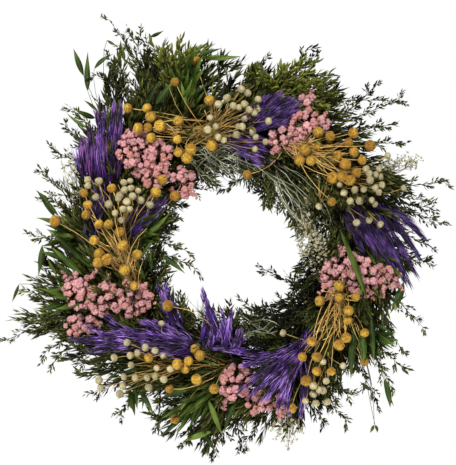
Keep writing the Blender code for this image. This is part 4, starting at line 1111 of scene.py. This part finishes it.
def binding_route():
    """The binding wire: a turn round ring and stems at each tie, then along the ring."""
    points = []
    run = STATION_STEP - math.degrees(2 * LOOP_LEAD / RING_RADIUS)
    for station in sorted(STATIONS):
        points.append(on_ring(along(station, -LOOP_LEAD), BINDING_OFFSET, 0.0))
        for k in range(LOOP_POINTS):
            turn = math.radians(LOOP_START + 360.0 * k / (LOOP_POINTS - 1))
            c, s = math.cos(turn), math.sin(turn)
            out = LOOP_HALF_WIDTH * math.copysign(math.sqrt(abs(c)), c)
            forward = LOOP_CENTRE + LOOP_HALF_HEIGHT * math.copysign(math.sqrt(abs(s)), s)
            shift = LOOP_PITCH * (k / (LOOP_POINTS - 1) - 0.5)
            points.append(on_ring(along(station, shift), out, forward))
        points.append(on_ring(along(station, LOOP_LEAD), BINDING_OFFSET, 0.0))
        if station != max(STATIONS):
            for k in range(RUN_POINTS):
                share = (k + 1) / (RUN_POINTS + 1)
                points.append(on_ring(along(station, LOOP_LEAD) + share * run, BINDING_OFFSET, 0.0))
    return points


def wire_mesh(name, points, radius):
    """A wire of round section along a route, made from a curve and kept as a mesh."""
    curve = bpy.data.curves.new(name, "CURVE")
    curve.dimensions = "3D"
    curve.bevel_depth = radius
    curve.bevel_resolution = 1
    curve.use_fill_caps = True
    line = curve.splines.new("POLY")
    line.points.add(len(points) - 1)
    for point, place in zip(line.points, points):
        point.co = (*(place * MM), 1.0)
    guide = bpy.data.objects.new(name + " guide", curve)
    mesh = bpy.data.meshes.new_from_object(guide)
    bpy.data.objects.remove(guide)
    bpy.data.curves.remove(curve)
    mesh.name = name
    mesh.shade_smooth()
    return mesh


class WREATH_OT_ring(bpy.types.Operator):
    """The galvanised ring and the green wire that binds the bunches to it"""
    bl_idname = "wreath.ring"
    bl_label = "Ring and binding wire"

    def execute(self, context):
        sizes, colours = context.scene.wreath_sizes, context.scene.wreath_colours
        ring = ring_mesh("ring_wire_detail", sizes.wire_radius)
        ring.materials.append(wire_material("galvanised wire", colours.wire, 0.9, 0.5))
        bound(bpy.data.objects.new("ring_wire_detail", ring), "wire_ring")
        wire = wire_mesh("binding_wire_detail", binding_route(), sizes.binding_radius)
        wire.materials.append(wire_material("green binding wire", colours.binding, 0.3, 0.5))
        bound(bpy.data.objects.new("binding_wire_detail", wire), "binding_wire")
        return {"FINISHED"}


class WREATH_OT_foliage(bpy.types.Operator):
    """Twelve bunches of dark, fine-leaved foliage"""
    bl_idname = "wreath.foliage"
    bl_label = "Foliage bunches"

    def execute(self, context):
        sizes, colours = context.scene.wreath_sizes, context.scene.wreath_colours
        # Dark foliage: its fine leaves' roots carry painted shade in the dark green, their tips are olive
        leaf = tissue("dark foliage", (colours.dark_green, colours.mid_green, colours.olive,
                                       colours.olive), 0.12, 1.2, 2.0, 0.4, 24.0, 0.72)
        twig = tissue("foliage twigs", (colours.twig, colours.twig, colours.dark_green,
                                        colours.dark_green), 0.3, 0.4, 2.0, 0.4, 50.0, 0.85)
        blade = tissue("foliage blades", (colours.leaf, colours.leaf, colours.olive,
                                          colours.leaf_light), 0.35, 0.7, 4.0, 0.5, 30.0, 0.6)
        grey = tuple(0.5 * (a + b) for a, b in zip(colours.cream, colours.olive))
        pale = tissue("pale dried stems", (grey, colours.cream, colours.cream, grey), 0.4, 0.8, 2.0,
                      0.4, 50.0, 0.8)
        for number, station in enumerate(STATIONS):
            grow_foliage(f"foliage_bunch_{number + 1:02d}", station, sizes.chip_length / MM,
                         sizes.chip_width / MM, [leaf, twig, blade, pale])
        return {"FINISHED"}


class WREATH_OT_leafy_stems(bpy.types.Operator):
    """Nine stems of green lance leaves"""
    bl_idname = "wreath.leafy_stems"
    bl_label = "Leafy stems"

    def execute(self, context):
        sizes, colours = context.scene.wreath_sizes, context.scene.wreath_colours
        leaf = tissue("lance leaves", (colours.leaf, colours.leaf, colours.leaf_light,
                                       colours.leaf_light), 0.2, 0.6, 5.0, 0.5, 30.0, 0.55,
                      rib=0.6)
        stem = tissue("green stems", (colours.twig, colours.leaf, colours.leaf, colours.twig),
                      0.2, 0.3, 2.0, 0.3, 50.0, 0.7)
        for name, row in LEAVES.items():
            grow_leafy_stem(name, row, sizes.leaf_width / MM, [leaf, stem])
        return {"FINISHED"}


class WREATH_OT_gold_buttons(bpy.types.Operator):
    """Five bunches of gold button heads on straw stalks"""
    bl_idname = "wreath.gold_buttons"
    bl_label = "Gold buttons"

    def execute(self, context):
        sizes, colours = context.scene.wreath_sizes, context.scene.wreath_colours
        head = tissue("gold heads", (colours.ochre, colours.gold, colours.gold, colours.ochre),
                      0.15, 0.35, 7.0, 0.2, 260.0, 0.85, 0.7, 0.1, 0.6)
        for name, row in GOLD.items():
            sense = -1 if name == "gold_buttons_top_left" else 1
            grow_buttons(name, row, sense, sizes.gold_radius / MM, sizes.straw_radius / MM,
                         GOLD_HEAD, [head, straw_material("gold stalks", colours, 1.0)])
        return {"FINISHED"}


class WREATH_OT_ivory_buttons(bpy.types.Operator):
    """Five bunches of ivory button heads on straw stalks"""
    bl_idname = "wreath.ivory_buttons"
    bl_label = "Ivory buttons"

    def execute(self, context):
        sizes, colours = context.scene.wreath_sizes, context.scene.wreath_colours
        # Painted shade: a darker ivory on each head's side towards its stalk and on a share of whole heads
        dull = tuple(part * 0.7 for part in colours.ivory)
        head = tissue("ivory heads", (dull, colours.ivory, colours.ivory, dull), 0.15, 0.25, 7.0,
                      0.25, 260.0, 0.9, 0.6, 0.1)
        for name, row in IVORY.items():
            grow_buttons(name, row, 1, sizes.ivory_radius / MM, sizes.straw_radius / MM,
                         IVORY_HEAD, [head, straw_material("tan stalks", colours, 0.7)])
        return {"FINISHED"}


class WREATH_OT_pink_clusters(bpy.types.Operator):
    """Six clusters of pink florets"""
    bl_idname = "wreath.pink_clusters"
    bl_label = "Pink clusters"

    def execute(self, context):
        sizes, colours = context.scene.wreath_sizes, context.scene.wreath_colours
        floret = tissue("pink florets", (colours.salmon, colours.pink, colours.pink,
                                         colours.salmon), 0.3, 0.25, 5.0, 0.3, 60.0, 0.85, 0.5)
        stem = tissue("pink stems", (colours.twig, colours.salmon, colours.salmon, colours.twig),
                      0.2, 0.3, 2.0, 0.3, 60.0, 0.8)
        for name, row in PINK.items():
            grow_cluster(name, row, sizes.floret_radius / MM, [floret, stem])
        return {"FINISHED"}


class WREATH_OT_purple_plumes(bpy.types.Operator):
    """Eight plumes of fine purple bristles"""
    bl_idname = "wreath.purple_plumes"
    bl_label = "Purple plumes"

    def execute(self, context):
        colours = context.scene.wreath_colours
        for name, row in PLUMES.items():
            accent = colours.magenta if name == "purple_plume_upper_left" else colours.lilac
            # Painted shade and highlight: each awn runs from a root at a third of the purple, shade inside
            # the plume, to a lilac tip, a highlight; the row's last number scales all four colours
            dark, body, light, accent = (
                tuple(part * row[-1] * share for part in colour) for colour, share in
                ((colours.purple, 0.3), (colours.purple, 0.9), (colours.lilac, 1.0), (accent, 1.0)))
            awn = tissue("bristles of " + name, (dark, body, light, accent), row[-2], 1.4, 3.0, 0.5,
                         60.0, 0.6, 0.3, 0.05)
            grow_plume(name, row, [awn])
        return {"FINISHED"}


class WREATH_OT_sprays(bpy.types.Operator):
    """Lime foliage sprays and cream filler flowers"""
    bl_idname = "wreath.sprays"
    bl_label = "Sprays"

    def execute(self, context):
        sizes, colours = context.scene.wreath_sizes, context.scene.wreath_colours
        lime = tissue("lime foliage", (colours.mid_green, colours.lime, colours.lime,
                                       colours.olive), 0.3, 0.9, 3.0, 0.4, 40.0, 0.7)
        stem = tissue("lime stems", (colours.olive, colours.lime, colours.lime, colours.olive),
                      0.2, 0.3, 2.0, 0.3, 50.0, 0.8)
        for name, row in LIME.items():
            grow_lime_spray(name, row, sizes.chip_length / MM, sizes.chip_width / MM,
                            [lime, stem])
        petal = tissue("cream flowers", (colours.ivory, colours.cream, colours.cream,
                                         colours.ivory), 0.3, 0.2, 4.0, 0.3, 80.0, 0.9)
        pale = tuple(0.5 * (a + b) for a, b in zip(colours.straw, colours.cream))
        stalk = tissue("cream stems", (colours.twig, colours.twig, pale, colours.olive), 0.3, 0.4, 2.0,
                       0.3, 50.0, 0.8)
        for name, row in CREAM.items():
            grow_cream_spray(name, row, [petal, stalk])
        return {"FINISHED"}


CAMERA_DISTANCE = 2.4
CAMERA_CENTRE = (-0.00875, -0.045, -0.1348)
VIEW_HEIGHT = 0.58125
FLOOR_DROP = 0.12
FLOOR_HALF_WIDTH = 0.86
SKY_LIGHT = 0.17


def area_light(name, place, size, power):
    light = bpy.data.lights.new(name, "AREA")
    light.size = size
    light.energy = power
    lamp = bpy.data.objects.new(name, light)
    lamp.location = place
    lamp.rotation_euler = (Vector(CAMERA_CENTRE) - Vector(place)).to_track_quat("-Z", "Y").to_euler()
    bpy.context.scene.collection.objects.link(lamp)


def floor_material():
    made = bpy.data.materials.new("pale floor")
    made.use_nodes = True
    tree = made.node_tree
    shader = tree.nodes["Principled BSDF"]
    place = tree.nodes.new("ShaderNodeTexCoord")
    grain = tree.nodes.new("ShaderNodeTexNoise")
    grain.inputs["Scale"].default_value = 3.0
    link(tree, place.outputs["Object"], grain.inputs["Vector"])
    tone = mix_colour(tree, "MIX", grain.outputs[0], (0.90, 0.90, 0.90, 1.0), (0.93, 0.93, 0.93, 1.0))
    link(tree, tone, shader.inputs["Base Color"])
    shader.inputs["Roughness"].default_value = 0.9
    shader.inputs["Emission Color"].default_value = (1.0, 1.0, 1.0, 1.0)
    shader.inputs["Emission Strength"].default_value = 0.45
    return made


class WREATH_OT_stage(bpy.types.Operator):
    """Pale floor, soft studio light and a camera square on to the wreath"""
    bl_idname = "wreath.stage"
    bl_label = "Stage"

    def execute(self, context):
        scene = context.scene
        bm = bmesh.new()
        bmesh.ops.create_grid(bm, x_segments=1, y_segments=1, size=FLOOR_HALF_WIDTH)
        bmesh.ops.translate(bm, verts=bm.verts[:], vec=(0.0, 0.0, CAD_BOX[0][2] - FLOOR_DROP))
        mesh = bpy.data.meshes.new("floor")
        bm.to_mesh(mesh)
        bm.free()
        mesh.materials.append(floor_material())
        floor = bpy.data.objects.new("floor", mesh)
        scene.collection.objects.link(floor)
        world = bpy.data.worlds.new("studio")
        world.use_nodes = True
        backdrop = world.node_tree.nodes["Background"]
        backdrop.inputs[0].default_value = (1.0, 1.0, 1.0, 1.0)
        seen = world.node_tree.nodes.new("ShaderNodeLightPath").outputs["Is Camera Ray"]
        strength = math_node(world.node_tree, "MULTIPLY", seen, 1.0 - SKY_LIGHT)
        link(world.node_tree, math_node(world.node_tree, "ADD", strength, SKY_LIGHT),
             backdrop.inputs[1])
        scene.world = world
        scene.view_settings.view_transform = "Standard"
        area_light("key light", (-0.8, -1.9, 1.1), 0.6, 60.0)
        area_light("fill light", (1.4, -1.6, 0.0), 1.2, 8.0)
        area_light("back light", (0.9, 1.8, 0.5), 1.0, 14.0)
        camera = bpy.data.cameras.new("camera")
        camera.lens = camera.sensor_width * CAMERA_DISTANCE / VIEW_HEIGHT
        eye = bpy.data.objects.new("camera", camera)
        eye.location = Vector(CAMERA_CENTRE) - Vector((0.0, CAMERA_DISTANCE, 0.0))
        eye.rotation_euler = (math.radians(90.0), 0.0, 0.0)
        scene.collection.objects.link(eye)
        scene.camera = eye
        return {"FINISHED"}


OPERATORS = (
    WREATH_OT_stage, WREATH_OT_ring, WREATH_OT_foliage, WREATH_OT_leafy_stems,
    WREATH_OT_gold_buttons, WREATH_OT_ivory_buttons, WREATH_OT_pink_clusters,
    WREATH_OT_purple_plumes, WREATH_OT_sprays,
)


class WREATH_PT_panel(bpy.types.Panel):
    """The wreath's steps, sizes and colours"""
    bl_label = "Dried Flower Wreath"
    bl_idname = "WREATH_PT_panel"
    bl_space_type = "VIEW_3D"
    bl_region_type = "UI"
    bl_category = "Wreath"

    def draw(self, context):
        for operator in OPERATORS:
            self.layout.operator(operator.bl_idname)
        for group in (context.scene.wreath_sizes, context.scene.wreath_colours):
            for name in group.__annotations__:
                self.layout.prop(group, name)


CLASSES = (WreathSizes, WreathColours, *OPERATORS, WREATH_PT_panel)


def register():
    for item in CLASSES:
        bpy.utils.register_class(item)
    bpy.types.Scene.wreath_sizes = bpy.props.PointerProperty(type=WreathSizes)
    bpy.types.Scene.wreath_colours = bpy.props.PointerProperty(type=WreathColours)


def unregister():
    del bpy.types.Scene.wreath_colours
    del bpy.types.Scene.wreath_sizes
    for item in reversed(CLASSES):
        bpy.utils.unregister_class(item)


def main():
    register()
    bpy.ops.wreath.stage()
    bpy.ops.wreath.ring()
    bpy.ops.wreath.foliage()
    bpy.ops.wreath.leafy_stems()
    bpy.ops.wreath.gold_buttons()
    bpy.ops.wreath.ivory_buttons()
    bpy.ops.wreath.pink_clusters()
    bpy.ops.wreath.purple_plumes()
    bpy.ops.wreath.sprays()
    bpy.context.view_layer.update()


if __name__ == "__main__":
    main()
